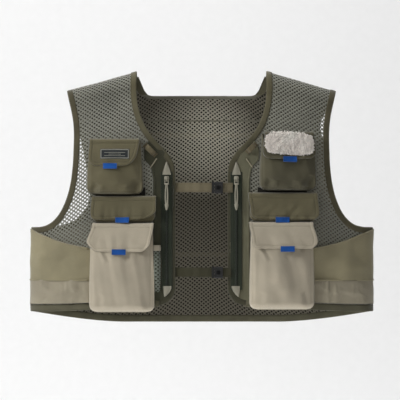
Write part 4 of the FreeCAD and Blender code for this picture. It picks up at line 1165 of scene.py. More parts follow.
class PocketFrame:
    """Places points (across, out, up) of a pocket. Its origin is the top middle of its back."""

    def __init__(self, name):
        self.name = name
        self.kind = name.split("_")[1]
        (self.width, self.height, self.top, self.bottom, self.flap_shift, self.flap_width,
         self.flap_length, self.tab_shift, self.left_round, self.right_round,
         self.left_flare, self.right_flare, self.mouth) = POCKETS[name]
        self.bevel = FLAP_BEVEL[self.kind]
        joint = HINGES[name + "_flap_hinge"]
        self.hinge = np.array(joint["pos_m"]) / MM
        self.across = -np.array(joint["axis"], float)
        self.out = np.array([self.across[1], -self.across[0], 0.0])
        self.hinge_out = self.top + 1.7
        flat = self.hinge - self.out * self.hinge_out + (0, 0, 0.9)
        self.origin = flat
        self.slope = math.atan2(self.bottom - self.top, self.height)

    def place(self, across, out, up):
        across, out, up = np.broadcast_arrays(across, out, up)
        return (self.origin + across[..., None] * self.across + out[..., None] * self.out
                + up[..., None] * np.array([0.0, 0.0, 1.0]))


def pocket_relief(f, across, down, seed):
    """How far the front of a pouch stands off its even shape: seam ridge, folds, creases."""
    x, y = across / f.width, down / f.height
    edge = np.minimum(f.width / 2 - np.abs(across), f.height - down)
    relief = 0.8 * bell(edge - 3.0, 1.5) - 0.7 * bell(edge - 6.2, 1.1)
    for start, end, wide, high in FOLDS[f.kind]:
        start, end = np.array(start), np.array(end)
        run = end - start
        share = np.clip(((x - start[0]) * run[0] + (y - start[1]) * run[1]) / (run @ run), 0, 1)
        away = np.hypot(x - start[0] - share * run[0], (y - start[1] - share * run[1]) * 1.2)
        relief += high * bell(away, wide) * np.sin(np.pi * (0.12 + 0.88 * share)) ** 0.5
    top, low, slope, deep = RIDGES[f.name]
    past = (x - top - (low - top) * y) * f.width
    deep = deep * (0.5 + 0.5 * y)
    relief -= deep * np.tanh(slope * np.log1p(np.exp(past * 0.6)) / 0.6 / deep)
    place = np.stack([across, down * 0.55, across * 0], -1)
    return relief + waves(place, 52, seed) * 1.1 + waves(place, 21, seed + 1) * 0.45


def pocket_body(name, material, slot):
    """Soft hollow pouch, its front wall starting lower than its hood."""
    f = PocketFrame(name)
    rows, power = 84, POUCH_POWER[f.kind]
    turn = np.linspace(0, np.pi, 2000)
    ring = np.stack([np.sign(np.cos(turn)) * np.abs(np.cos(turn)) ** power * f.width / 2,
                     np.abs(np.sin(turn)) ** power * f.bottom], -1)
    ring = even(ring, 1.9)
    across, out = ring[:, 0] / (f.width / 2), ring[:, 1] / f.bottom
    back = np.linspace(-1, 1, 26)[1:-1]
    across = np.concatenate([across, back])
    out = np.concatenate([out, np.zeros(len(back))])
    top = -f.mouth * smooth(out * 1.6 - 0.55) - 1
    share = np.linspace(0, 1, rows) ** 0.9
    up = top[:, None] + (-f.height - top[:, None]) * share[None]
    left = np.clip(f.height + up, 0, None)
    corner = min(14.0, f.height * 0.3)
    rounded = corner - np.sqrt(np.maximum(corner ** 2 - np.maximum(corner - left, 0) ** 2, 0))
    taper = POUCH_TAPER[f.kind]
    half = f.width / 2 * (1 - taper * (1 - smooth(-up / f.height * 1.3))) - rounded
    low = f.bottom * 0.45
    floor = np.sqrt(np.maximum(1 - (np.maximum(low - left, 0) / low) ** 2, 0))
    depth = (f.top + (f.bottom - f.top) * -up / f.height) * (0.1 + 0.9 * floor)
    x = across[:, None] * half
    swell = np.sin(np.pi * np.clip(-up / f.height, 0, 1))
    belly = 0.86 + (0.04 + 0.14 * swell) * (1 - np.abs(across[:, None]) ** 2.2)
    relief = pocket_relief(f, x, -up, sum(map(ord, name)))
    relief = relief * smooth(out[:, None] * 1.5 - 0.3) * floor
    points = f.place(x, 0.6 + out[:, None] * depth * belly + relief, up)
    girth = np.linspace(0, 2 * f.width + 2 * f.bottom, len(across))
    uv = np.stack(np.broadcast_arrays(girth[:, None], -up), -1)
    columns = len(across)
    faces = [list(q) for q in grid_faces(columns, rows, closed=True)]
    faces.append([c * rows + rows - 1 for c in range(columns)][::-1])
    piece = make(name + "_pocket", points.reshape(-1, 3), faces, uv.reshape(-1, 2), material)
    attach(piece, "vest", slot, name + "_pocket")
    return piece


def settle(piece, thick):
    """Gives a pouch's skin its thickness (mm), applied to the mesh."""
    solid = piece.modifiers.new("thick", "SOLIDIFY")
    solid.thickness = thick * MM
    solid.offset = -1
    depsgraph = bpy.context.evaluated_depsgraph_get()
    mesh = bpy.data.meshes.new_from_object(piece.evaluated_get(depsgraph))
    piece.modifiers.clear()
    piece.data = mesh


# ---- flaps ---------------------------------------------------------------------------------

def flap_profile(f):
    """(out, up) of the flap from its seam on the vest over the fold and down, every 0.5 mm."""
    corner = 4.5
    reach = f.hinge_out
    hood = [(0.4, 1.9), (reach * 0.35, 2.3), (reach - corner, 1.3)]
    start = np.array([reach, -0.9 - corner])
    down = np.array([math.sin(f.slope), -math.cos(f.slope)])
    hang = [start + down * d for d in (0, 12, 26)]
    tail = [start + down * (f.flap_length + 12 - corner)]
    return curve_through(hood + [(reach - 0.9, 0.0)] + hang + tail, 0.5)


def flap_point(f, across, along, lift=0.0):
    """Points on the flap's outside. along is the way down from the fold."""
    profile = flap_profile(f)
    way = np.arange(len(profile)) * np.linalg.norm(profile[1] - profile[0])
    fold = way[np.argmin(np.abs(profile[:, 1] + 0.9) + (profile[:, 0] < f.hinge_out * 0.8) * 99)]
    along = np.maximum(np.asarray(along, float), 0.6 - fold)
    (out, up), (ahead_out, ahead_up), (behind_out, behind_up) = [
        [np.interp(along + fold + step, way, profile[:, i]) for i in (0, 1)]
        for step in (0, 0.5, -0.5)]
    d_out, d_up = ahead_out - behind_out, ahead_up - behind_up
    size = np.hypot(d_out, d_up)
    n_out, n_up = -d_up / size, d_out / size
    sag = smooth(along / f.flap_length)
    puff = 1.6 * np.sin(np.pi * np.clip(along / f.flap_length, 0, 1)) + 0.8 * sag
    puff = puff * (1 - (across / (f.flap_width * 0.52)) ** 2 * 0.6)
    base = f.place(across + f.flap_shift, out, up)
    crease = (waves(base * (1, 1, 0.5), 40, sum(map(ord, f.name)) + 1) * 1.7
              + waves(base * (1, 1, 0.6), 17, sum(map(ord, f.name)) + 2) * 0.7) * sag
    bulk = puff + crease + lift
    return f.place(across + f.flap_shift, out + n_out * bulk, up + n_up * bulk)


def flap_edges(f, along):
    """Left and right ends of the flap at each distance down it, with rounded corners."""
    widest = 1 - smooth(along / (f.flap_length - 14))
    left = -f.flap_width / 2 + max(f.left_flare, 0) * widest - min(f.left_flare, 0) * (1 - widest)
    right = f.flap_width / 2 - max(f.right_flare, 0) * widest + min(f.right_flare, 0) * (1 - widest)
    for radius, ends, sign in ((f.left_round, left, 1), (f.right_round, right, -1)):
        into = np.clip(along / radius - (f.flap_length / radius - 1), 0, 1)
        stretch = 2.0 if f.name == "left_mid" and sign < 0 else 1.0
        ends += sign * stretch * radius * (1 - (1 - into ** f.bevel) ** (1 / f.bevel))
    return left, right


def flap(name, material, slot, thread):
    """Flap from its seam on the vest to its lower edge, with a turned and stitched hem."""
    f = PocketFrame(name)
    hood = f.hinge_out + 1.5
    along = np.concatenate([np.linspace(-hood, 0, 12)[:-1], np.linspace(0, f.flap_length - 5, 34),
                            f.flap_length - 5 + 5 * np.sin(np.linspace(0.15, np.pi / 2, 9))])
    left, right = flap_edges(f, along)
    share = (1 - np.cos(np.linspace(0, np.pi, 74))) / 2
    share = 0.55 * share + 0.45 * np.linspace(0, 1, 74)
    across = left[:, None] + (right - left)[:, None] * share[None]
    to_edge = np.minimum(np.minimum(across - left[:, None], right[:, None] - across),
                         np.maximum(f.flap_length - along, 0)[:, None])
    hem = 0.45 * bell(to_edge - HEM_RIDGE, 1.6) - 0.5 * bell(to_edge - HEM_STITCH, 0.7)
    hem = hem - 0.25 * bell(to_edge, 0.8)
    hem = hem - 0.9 * bell(along - 5.5, 1.3)[:, None]
    rows = np.broadcast_to(along[:, None], across.shape)
    points = flap_point(f, across, rows, hem)
    normals = unit(np.cross(np.gradient(points, axis=1), np.gradient(points, axis=0)))
    if np.sum(normals * f.out) < 0:
        normals = -normals
    piece = slab(name + "_flap", points, normals, measured(points), 2.0, material)
    body = name + "_flap_body"
    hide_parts(name + "_flap")
    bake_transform(piece)
    insets = (HEM_STITCH, SIDE_STITCH) if slot == "pocket_stone" else (HEM_STITCH,)
    paths = [flap_edge_path(f, inset) for inset in insets]
    sewn(name + "_flap_stitching", paths, thread, body, slot, pitch=3.0, wide=0.36)
    pull_tab(f, body)


def flap_edge_path(f, inset):
    """Path down one side of the flap, along its hem and up the other side."""
    run = np.linspace(4, f.flap_length, 70)
    left, right = flap_edges(f, run)
    outline = np.concatenate([np.stack([left, run], -1),
                              np.stack([right, run], -1)[::-1]])
    outline = even(outline, 1.5)
    direction = unit(np.gradient(outline, axis=0))
    inward = np.stack([direction[:, 1], -direction[:, 0]], -1)
    moved = outline + inward * inset
    good = (moved[:, 1] > 5) & (moved[:, 1] < f.flap_length - inset * 0.9)
    good &= np.abs(moved[:, 0]) < f.flap_width / 2 - inset * 0.9
    moved = even(moved[good], 1.5)
    points = flap_point(f, moved[:, 0], moved[:, 1], 0.75)
    out = flap_point(f, moved[:, 0], moved[:, 1], 1.75)
    return points, unit(out - points)


def patch_on_flap(name, f, centre, size, lift, thick, material, body, slot, nodes, count,
                  shape=None):
    """Small sheet sewn on a flap's outside. centre is (across, along)."""
    across = np.linspace(-size[0] / 2, size[0] / 2, count[0])
    along = np.linspace(-size[1] / 2, size[1] / 2, count[1])
    a, b = np.meshgrid(across, along, indexing="ij")
    extra = shape(a, b) if shape else 0.0
    points = flap_point(f, a + centre[0], b + centre[1], lift + extra)
    above = flap_point(f, a + centre[0], b + centre[1], lift + extra + 1)
    uv = np.stack([a, b], -1)
    attach(slab(name, points, above - points, uv, thick, material), body, slot, *nodes)


TAB_SIZE = (26, 10)


def pull_tab(f, body):
    """Folded blue tape on the flap's lower edge."""
    centre = (f.tab_shift - f.flap_shift, f.flap_length + 1.6)

    def folded(a, b):
        return 0.35 * np.cos(a / TAB_SIZE[0] * np.pi) + 0.3 * smooth(b / 5)
    patch_on_flap(f.name + "_tab", f, centre, TAB_SIZE, 1.9, 1.3, BLUE, body, "tab_blue",
                  [f.name + "_tab"], (28, 12), folded)


LABEL_SIZE = (55, 18.5)
LABEL_BORDER = 1.2         # from the label's edge to its border line


def label():
    """Plain dark label with a pale border and three plain bars."""
    f = PocketFrame("left_chest")
    body = "left_chest_flap_body"
    centre = (0.9 + 1.3, 26.0)
    patch_on_flap("chest_label", f, centre, LABEL_SIZE, 1.5, 0.9, LABEL, body, "label",
                  ["chest_label"], (50, 20))
    x, z = LABEL_SIZE[0] / 2 - LABEL_BORDER, LABEL_SIZE[1] / 2 - LABEL_BORDER
    rows = [even(np.array([(-x, -z), (x, -z), (x, z), (-x, z), (-x, -z)]), 1.0)]
    for height, reach in ((-2.6, 20), (0.6, 12), (3.6, 20)):
        rows.append(np.stack([np.linspace(-reach, reach, 40), np.full(40, height)], -1))
    for i, row in enumerate(rows):
        points = flap_point(f, row[:, 0] + centre[0], row[:, 1] + centre[1], 2.1)
        above = flap_point(f, row[:, 0] + centre[0], row[:, 1] + centre[1], 3.1)
        wide = 1.6 if i == 0 else 0.9
        trim = tape(f"label_line_{i}", points, unit(above - points), wide, 0.5, LABEL_EDGE)
        attach(trim, body, "label")


FLEECE_SIZE = (93, 42)
FLEECE_TILT = 0.045        # down per across
TUFTS = 6400               # scattered over its rectangle, before the ragged edge is cut


def fleece():
    """Deep pile patch for flies on the right chest flap: a lumpy base and tufts of curled wool."""
    f = PocketFrame("right_chest")
    body = "right_chest_flap_body"
    draw = np.random.default_rng(5)
    half = np.array(FLEECE_SIZE) / 2
    centre = np.array([0.2, 19.6])

    def lumps(a, b):
        edge = np.minimum(1 - (np.abs(a) / half[0]) ** 4, 1 - (np.abs(b) / half[1]) ** 4)
        place = np.stack([a, b, a * 0], -1)
        return 4.0 * np.clip(edge, 0, 1) ** 0.4 + waves(place, 13, 31) * 0.7 * np.clip(edge, 0, 1)
    patch_on_flap("fleece_patch", f, tuple(centre), tuple(2 * half - 9), 0.6, 1.2, FLEECE, body,
                  "fleece", ["fleece_patch"], (90, 44), lumps)
    a, b = draw.uniform(-1, 1, (2, TUFTS))
    ragged = 1 + 0.05 * waves(np.stack([a * 46, b * 21, a * 0], -1), 9, 33)
    kept = np.abs(a) ** 5 + np.abs(b) ** 4 < ragged - 0.08
    a, b = a[kept] * half[0], b[kept] * half[1]
    b = b + a * FLEECE_TILT
    count = len(a)
    root = flap_point(f, a + centre[0], b + centre[1], 0.2 + lumps(a, b))
    above = flap_point(f, a + centre[0], b + centre[1], 1.2 + lumps(a, b))
    normal = unit(above - root)
    lean = unit(draw.normal(size=(count, 3)) + 0.6 * (root - root.mean(0)) / half[0])
    lean = unit(lean + normal * 1.1)
    curl = unit(np.cross(lean, draw.normal(size=(count, 3))))
    length = draw.uniform(2.2, 4.6, count)[:, None]
    steps = ((0, 0.0, 1.05), (0.4, 0.6, 0.95), (0.8, 0.8, 0.7), (1.0, 0.3, 0.12))
    blocks = []
    for way, bend, size in steps:
        middle = root + lean * length * way + curl * bend * length * 0.35
        for turn in (0, 2.1, 4.2):
            side = np.cross(lean, curl)
            blocks.append(middle + (curl * math.cos(turn) + side * math.sin(turn)) * size)
    block = np.stack(blocks, 1)
    faces = np.array([[r * 3 + c, r * 3 + (c + 1) % 3, (r + 1) * 3 + (c + 1) % 3, (r + 1) * 3 + c]
                      for r in range(3) for c in range(3)])
    every = (faces[None] + np.arange(count)[:, None, None] * 12).reshape(-1, 4)
    uv = np.repeat(np.stack([a, b], -1), 12, axis=0)
    tufts = make("fleece_tufts", block.reshape(-1, 3), every, uv, FLEECE)
    attach(tufts, body, "fleece")


def pocket_gap_shadow():
    """Dark lining cloth between each chest pocket and the pocket below it: painted shadow in the
    gap.
    """
    for side, label in SIDES:
        x, z = np.meshgrid(np.linspace(108, 203, 60) * side, np.linspace(-166, -196, 14),
                           indexing="ij")
        piece = cloth_grid(f"{label}_pocket_backing", on_front, x, z, 1.0, 0.8, LINING)
        attach(piece, "vest", "pocket_olive")


POCKET_LOOKS = {
    # the right chest pocket takes the darker olive copy: painted shade
    "right_chest": (OLIVE_PAINTED_SHADE, "pocket_olive", THREAD_DARK),
    "chest": (OLIVE, "pocket_olive", THREAD_DARK),
    "mid": (OLIVE, "pocket_olive", THREAD_DARK),
    "cargo": (STONE, "pocket_stone", THREAD_LIGHT),
}


def build_pockets():
    for name in POCKETS:
        material, slot, thread = POCKET_LOOKS.get(name) or POCKET_LOOKS[name.split("_")[1]]
        piece = pocket_body(name, material, slot)
        flap(name, material, slot, thread)
        settle(piece, 0.8)
    label()
    fleece()
    pocket_gap_shadow()


# ---- zips, straps, tabs -----------------------------------------------------------------

# the placket's outer edge, from the hem up to the tool tab
PLACKET_Z = (-389, -150, -127, -112, -92, -77)
PLACKET_X = (93, 93, 97, 110, 111, 103)


def placket(side, name):
    """Cloth facing beside the front edge, under the zip, up to the tool tab."""
    z = np.concatenate([np.linspace(-77, -145, 34), np.linspace(-150, -355, 60),
                        np.linspace(-358, -389, 16)])
    order = np.argsort(FRONT_LINE[:, 1])
    edge = np.interp(z, FRONT_LINE[order, 1], FRONT_LINE[order, 0]) + 3
    outer = np.interp(z, PLACKET_Z, PLACKET_X)
    outer = np.maximum(edge + 6, outer)
    share = np.linspace(0, 1, 24)
    x = (edge[:, None] + (outer - edge)[:, None] * share) * side
    rows = np.broadcast_to(z[:, None], x.shape)

    def pulls(points):
        return waves(points * (1, 1, 0.3), 26, 41) * 0.5
    look = PLACKET if side < 0 else PLACKET_PALE
    piece = cloth_grid(name, on_front, x, rows, 1.0, 0.9, look, pulls)
    attach(piece, "vest", "pocket_olive", name)
    declare_grid(on_front, x, rows)
    edge_path = lay(on_front, (outer - 2.5) * side, z, 1.9)
    attach(tape(name + "_edge", *edge_path, 3.6, 1.3, look, puff=0.15), "vest", "pocket_olive")
    return edge_path


ZIP_X = 67.0
ZIP_TOP = -140.0
ZIP_BOTTOM = -356.5
ZIP_TAPE_X, ZIP_TAPE_WIDE, ZIP_STITCH_X = 5.7, 11.2, 10.2      # from the coil's middle


COIL_PITCH = 1.35
COIL_WIRE = 0.52           # radius
COIL_ACROSS = (-3.0, -2.2, 0.6, 1.5, 0.9)
COIL_LIFT = (-0.2, 0.75, 0.95, 0.3, -0.3)


def coil(name, points, normals, across):
    """Closed zip coil: one bent wire at each point, from either tape in turn."""
    parts = []
    for i, (point, normal) in enumerate(zip(points, normals)):
        reach = np.array(COIL_ACROSS) * (1 if i % 2 else -1)
        line = point + reach[:, None] * across + normal * np.array(COIL_LIFT)[:, None]
        parts.append(rod(line, COIL_WIRE, 6))
    attach(gather(name, parts, COIL), "vest", "zip_tape")


def zip_parts(side, name):
    """Two tapes and the closed coil between them."""
    z = np.linspace(ZIP_BOTTOM - 6, ZIP_TOP + 4, 90)
    for way in (-1, 1):
        x = np.full(90, (ZIP_X + way * ZIP_TAPE_X) * side)
        points, normals = lay(on_front, x, z, 2.6)
        piece = tape(f"{name}_tape_{'ab'[way > 0]}", points, normals, ZIP_TAPE_WIDE, 1.0, ZIP_CLOTH)
        attach(piece, "vest", "zip_tape", *([name] if way < 0 else []))
    marks = np.arange(ZIP_BOTTOM + 1, ZIP_TOP - 1, COIL_PITCH)
    points, normals = lay(on_front, np.full(len(marks), ZIP_X * side), marks, 3.3)
    coil(name + "_coil", points, normals, (1, 0, 0))


def garages():
    """Moulded covers over the ends of the zips."""
    for side in (-1, 1):
        for top in (True, False):
            share = np.linspace(0, 1, 22)
            if top:
                z = ZIP_TOP - 1 + 24 * share
                left = ZIP_X - 7.4 * (1 - share ** 1.25) - 0.7
                right = ZIP_X + 7.4 * (1 - share ** 1.25) + 0.7
            else:
                z = ZIP_BOTTOM + 1 - 20 * share
                left = ZIP_X - 9 + 12.5 * share ** 2
                right = ZIP_X + 6.5 - 1.5 * share - 1.2 * share ** 6
            across = np.linspace(0, 1, 14)
            x = (left[:, None] + (right - left)[:, None] * across) * side
            rows = np.broadcast_to(z[:, None], x.shape)
            dome = 1.0 * np.sin(np.pi * across)[None] * np.ones((22, 1))
            points, normals = lay(on_front, x, rows, 3.6)
            points = points + normals * dome[..., None]
            label = ("left" if side < 0 else "right") + ("_top" if top else "_low")
            piece = slab(f"zip_garage_{label}", points, normals, measured(points), 1.2, PALE)
            attach(piece, "vest", "garage")
    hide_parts("zip_garages")


PULL_OUT = 4.8             # from the coil to the middle of the pull


def slider_and_pull(side):
    """Zip slider with a crossbar and a long slotted pull ending in a drop."""
    label = "left" if side < 0 else "right"
    joint = HINGES[label + "_pull_hinge"]
    hinge = np.array(joint["pos_m"]) / MM
    coil = hinge + (0, 3.25, 0)

    def local(x, out, z):
        return coil + np.stack(np.broadcast_arrays(x, -np.asarray(out, float), z), -1)
    z = np.linspace(-5.5, 5.5, 13)
    half = 3.4 + 1.0 * np.sin((z + 5.5) / 11 * np.pi * 0.6) + 0.5 * (z > 0)
    cap = []
    for i, zz in enumerate(z):
        ring = section(2 * half[i], 3.0, 14, 0.6, 0.6)
        ends = 0.55 + 0.45 * math.sqrt(max(0, 1 - (zz / 5.9) ** 2))
        cap.append(local(ring[:, 0] * ends, 0.9 + ring[:, 1] * ends, np.full(14, zz)))
    bridge_z = np.linspace(-4, 4, 11)
    bridge_out = 2.0 + 2.9 * np.sqrt(np.clip(1 - (bridge_z / 4.4) ** 2, 0, 1))
    bridge = rod(local(np.zeros(11), bridge_out, bridge_z), 1.0)
    slider = gather(label + "_zip_slider", [(np.array(cap), tube_faces(13, 14)), bridge], PALE)
    attach(slider, label + "_slider_body", "slider_metal", label + "_zip_slider")
    half_loop = [(3.0, 4.4, -8.5), (3.4, 3.4, -4), (2.6, 3.25, -0.4)]
    loop = [(-x, out, z) for x, out, z in half_loop] + [(0, 3.25, 0.5)] + half_loop[::-1]
    loop = curve_through(loop, 0.7)
    bar = np.linspace(-4.6, 4.6, 9)
    parts = [rod(local(*loop.T), 0.75),
             rod(local(bar, PULL_OUT, np.full(9, -9.4)), 1.45 - 0.5 * (bar / 4.6) ** 4)]
    for way in (-1, 1):
        zz = np.linspace(-9, -50, 26)
        spread = 1.25 + 1.1 * np.sin(np.clip((-zz - 14) / 36, 0, 1) * np.pi) * 0.8
        side_rod = local(way * spread, PULL_OUT + 0.5 * np.sin((zz + 9) / 41 * np.pi), zz)
        parts.append(rod(side_rod, np.interp(zz, (-50, -9), (1.75, 1.25))))
    zz = np.linspace(-46, -60, 16)
    fat = np.interp(zz, (-60, -58, -52, -49, -46), (0.7, 2.0, 3.6, 3.9, 2.2))
    drop = local(np.zeros(16), PULL_OUT, zz)
    rings, faces = rod(drop, fat, 12)
    flattened = rings - drop[:, None]
    parts.append((drop[:, None] + flattened * (1, 0.55, 1), faces))
    pull = gather(label + "_zip_pull", parts, PALE)
    attach(pull, label + "_pull_body", "moulded", label + "_zip_pull")


STRAP_WIDE = 18.6          # 19 mm webbing, less its rounded edges


def straps():
    """Webbing across the front opening, and its short ends on the right front."""
    for name, material, slot in (("upper_strap", LIGHT_WEBBING, "webbing_light"),
                                 ("lower_strap", DARK_WEBBING, "webbing_dark")):
        low, high = box_of(name)
        middle = (low[2] + high[2]) / 2
        x = np.linspace(low[0], high[0] - 0.2, 90)
        share = smooth((x + 44) / 38)
        y = (high[1] - 0.75) + (low[1] + 0.75 - (high[1] - 0.75)) * share
        sag = 0.5 * np.sin((x - x[0]) / 37)
        y = y + 0.5 * np.sin((x - x[0]) / 5.3) + 0.4 * np.sin((x - x[0]) / 2.9)
        points = np.stack([x, y, middle + sag], -1)
        lean = unit(np.gradient(points, axis=0))
        normals = unit(np.cross(lean, (0, 0, 1.0)))
        normals = np.where(normals[:, 1:2] > 0, -normals, normals)
        piece = tape(name, points, normals, STRAP_WIDE, 1.35, material, puff=0.05)
        attach(piece, "vest", slot, name)
    low, high = box_of("socket_webbing")
    for i, z in enumerate((high[2] - 9.5, low[2] + 9.5)):
        x = np.linspace(low[0] - 1, high[0] - 3 * i, 24)
        y = np.full(24, (low[1] + high[1]) / 2)
        points = np.stack([x, y, np.full(24, z)], -1)
        normals = facing_front(24)
        piece = tape(f"socket_web_{'ab'[i]}", points, normals, STRAP_WIDE, 1.5,
                     (LIGHT_WEBBING, DARK_WEBBING)[i], puff=0.05)
        attach(piece, "vest", "webbing_light")
        near, far = high[0] - 12, high[0] - 3
        box = [(near, z - 7), (far, z - 7), (far, z + 7), (near, z + 7), (near, z - 7)]
        box = even(np.array(box), 1.0)
        path = np.stack([box[:, 0], np.full(len(box), low[1] - 0.05), box[:, 1]], -1)
        sewn(f"socket_web_stitching_{'ab'[i]}", [(path, facing_front(len(path)))],
             THREAD_DARK, "vest", "webbing_light", pitch=2.2, wide=0.32)
    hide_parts("socket_webbing")


def tool_tabs():
    """Slanted webbing loops beside the chest pockets."""
    for side in (-1, 1):
        middle = np.array([(98.5 if side < 0 else 96) * side, 0, -94.0 if side < 0 else -90.0])
        middle[1] = on_front(97.5, -92.0)[1] - 2.6
        t = np.linspace(-1, 1, 40)
        way = np.array([math.cos(math.radians(45)), 0, side * math.sin(math.radians(45))])
        lift = 7.2 * np.clip(1 - (t / 0.72) ** 4, 0, 1) ** 0.6
        reach = 15.5 if side < 0 else 13
        points = middle + t[:, None] * reach * way + lift[:, None] * np.array([0, -1.0, 0])
        along = unit(np.gradient(points, axis=0))
        across = unit(np.cross(way, (0, -1.0, 0)))
        normals = unit(np.cross(along, across))
        normals = np.where(normals[:, 1:2] > 0.2, -normals, normals)
        piece = tape(f"tool_tab_{'left' if side < 0 else 'right'}", points, normals, 10.5, 1.5,
                     TAB_WEBBING, puff=0.06)
        attach(piece, "vest", "webbing_dark")
    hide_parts("tool_tabs")


SLEEVE_LONG = 90.0


def sleeve():
    """Narrow mesh sleeve beside the left cargo pocket, with a light tape at its mouth."""
    low, high = box_of("tool_sleeve")
    middle, wide = (low[0] + high[0]) / 2 - 2.5, (high[0] - low[0]) + 3
    depth = high[1] - low[1]

    def bag(a, b):
        turn = np.clip(a, 0, 1) * np.pi
        down = np.clip(-b / SLEEVE_LONG, 0, 1)
        swell = (0.75 + 0.35 * np.sin(np.pi * down ** 0.8)) * np.sqrt(np.clip(1 - down ** 8, 0, 1))
        x = middle + 1.0 - np.cos(turn) * wide / 2 * (0.85 + 0.3 * np.sin(np.pi * down))
        return np.stack([x, high[1] - np.sin(turn) * depth * swell, high[2] + 2 + b], -1)
    turns = np.linspace(0, 1, 22)
    girth = wide + depth

    def place(a, b):
        spot = bag(a / girth, b)
        step = 0.01
        du = bag(a / girth + step, b) - bag(a / girth - step, b)
        dv = bag(a / girth, b + 0.2) - bag(a / girth, b - 0.2)
        normal = unit(np.cross(du, dv))
        return spot, np.where(normal[:, 1:2] > 0, -normal, normal)

    def keep(a, b):
        return (a > 0) & (a < girth) & (b > 2 - SLEEVE_LONG) & (b < -3)
    piece, cut, area = net("tool_sleeve", place, keep, (0, girth), (-SLEEVE_LONG, 0), 0.5,
                           SLEEVE_MESH)
    attach(piece, "vest", "mesh", "tool_sleeve")
    edge = bag(turns, np.full(22, -5.0))
    normals = place(turns * girth, np.full(22, -5.0))[1]
    piece = tape("tool_sleeve_tape", edge + normals * 0.7, normals, 11, 1.3, STONE)
    attach(piece, "vest", "webbing_light", "tool_sleeve_tape")
    for i, t in enumerate((0.0, 1.0)):
        line = bag(np.full(40, t), np.linspace(-1, 1 - SLEEVE_LONG, 40)) + (0, -0.6, 0)
        normals = facing_front(40)
        piece = tape(f"tool_sleeve_edge_{i}", line, normals, 3, 1.2, PLACKET)
        attach(piece, "vest", "pocket_olive")


def build_front_details():
    paths = []
    for side, label in ((-1, "left_"), (1, "right_")):
        paths.append(placket(side, label + "zip_placket"))
        zip_parts(side, label + "zip")
        slider_and_pull(side)
        z = np.linspace(ZIP_BOTTOM, ZIP_TOP, 80)
        for x in (ZIP_X - ZIP_STITCH_X, ZIP_X + ZIP_STITCH_X):
            paths.append(lay(on_front, np.full(80, x * side), z, 3.1))
    sewn("placket_stitching", paths, THREAD_DARK, "vest", "pocket_olive", pitch=3.2, wide=0.34)
    for side, label in SIDES:
        line = curve_through([(86, -110), (92, -119), (98.5, -128)], 2) * (side, 1)
        piping = tape(f"{label}_piping", *path_on(on_front, line, 2.4), 2.2, 1.4, THREAD_LIGHT)
        attach(piping, "vest", "pocket_olive")
    garages()
    straps()
    tool_tabs()
    sleeve()
    for name in ("upper_plug", "lower_plug", "upper_socket", "lower_socket"):
        harden(name, BLACK, 0.35)


def harden(name, material, bevel):
    """Better finish and softened edges for a CAD piece."""
    piece = frame["nodes"][name]
    piece.data.materials.clear()
    piece.data.materials.append(material)
    edge = piece.modifiers.new("edges", "BEVEL")
    edge.width = bevel * MM
    edge.segments = 2
    edge.limit_method = "ANGLE"
    edge.angle_limit = math.radians(40)
    edge.harden_normals = False


# ---- back --------------------------------------------------------------------------------

POCKET_WIDE, POCKET_HIGH, POCKET_TOP = 300.0, 232.0, -64.0
SLIT_Z = POCKET_TOP - 16
BACK_ZIP_HALF = 132
POCKET_RIM_LIFT, POCKET_SWELL, POCKET_SHOULDER = 1.8, 7.5, 16  # its face over the back


def build_back():
    """Wide zipped back pocket in mesh, hanger loop and ring tab."""
    half = POCKET_WIDE / 2
    low_z = POCKET_TOP - POCKET_HIGH

    def puffed(x, z):
        """How far the pocket's face stands off the back."""
        across = np.clip((half - np.abs(x)) / POCKET_SHOULDER, 0, 1)
        updown = np.clip(np.minimum(POCKET_TOP - z, z - low_z) / POCKET_SHOULDER, 0, 1)
        swell = np.sqrt(1 - (1 - np.minimum(across, updown)) ** 2)
        return POCKET_RIM_LIFT + POCKET_SWELL * swell

    def place(a, b):
        x = x_at(a)
        points, normals = lay(on_back, x, b, 0)
        return points + normals * puffed(x, b)[:, None], normals

    def keep(a, b):
        return (np.abs(a) < half - 1) & (b > low_z + 2) & (b < SLIT_Z - 6)
    piece, cut, area = net("back_pocket", place, keep, (-half, half), (low_z, POCKET_TOP),
                           0.55, MESH)
    attach(piece, "vest", "mesh", "back_pocket")
    xs = np.linspace(-half + 1, half - 1, 90)
    for label, z0, z1 in (("upper", SLIT_Z + 6.5, POCKET_TOP),
                          ("lower", SLIT_Z - 22, SLIT_Z - 6.5)):
        x, z = np.meshgrid(xs, np.linspace(z0, z1, 12), indexing="ij")
        points, normals = lay(on_back, x, z, 0)
        points = points + normals * (puffed(x, z) + 0.6)[..., None]
        facing = slab(f"back_pocket_{label}_facing", points, normals, measured(points), 1.0, OLIVE)
        attach(facing, "vest", "pocket_olive")
    rim = [(-half, POCKET_TOP), (-half, low_z), (half, low_z), (half, POCKET_TOP)]
    rim = even(np.array(rim + rim[:1]), 3)[:-1]
    points, normals = lay(on_back, rim[:, 0], rim[:, 1], 1.6)
    points, normals = smoothed_loop(points, normals)
    piece = tape("back_pocket_binding", points, normals, 9, 2.6, BINDING_CLOTH, closed=True,
                 puff=0.2)
    attach(piece, "vest", "binding")
    for way in (-1, 1):
        line_x = np.linspace(-BACK_ZIP_HALF, BACK_ZIP_HALF, 110)
        points, normals = lay(on_back, line_x, np.full(110, SLIT_Z + way * 4.2), 9.6)
        piece = tape(f"back_zip_tape_{'ab'[way > 0]}", points, normals, 8.6, 1.0, ZIP_CLOTH)
        attach(piece, "vest", "zip_tape", *(["back_zip"] if way < 0 else []))
    marks = np.arange(4 - BACK_ZIP_HALF, BACK_ZIP_HALF - 4, COIL_PITCH)
    points, normals = lay(on_back, marks, np.full(len(marks), SLIT_Z), 10.2)
    coil("back_zip_coil", points, normals, (0, 0, 1))
    for name, material, bevel in (("back_zip_slider", PALE, 0.6), ("net_ring", STEEL, 0.01),
                                  ("hanger_loop", DARK_WEBBING, 0.35),
                                  ("ring_tab", DARK_WEBBING, 0.35)):
        harden(name, material, bevel)


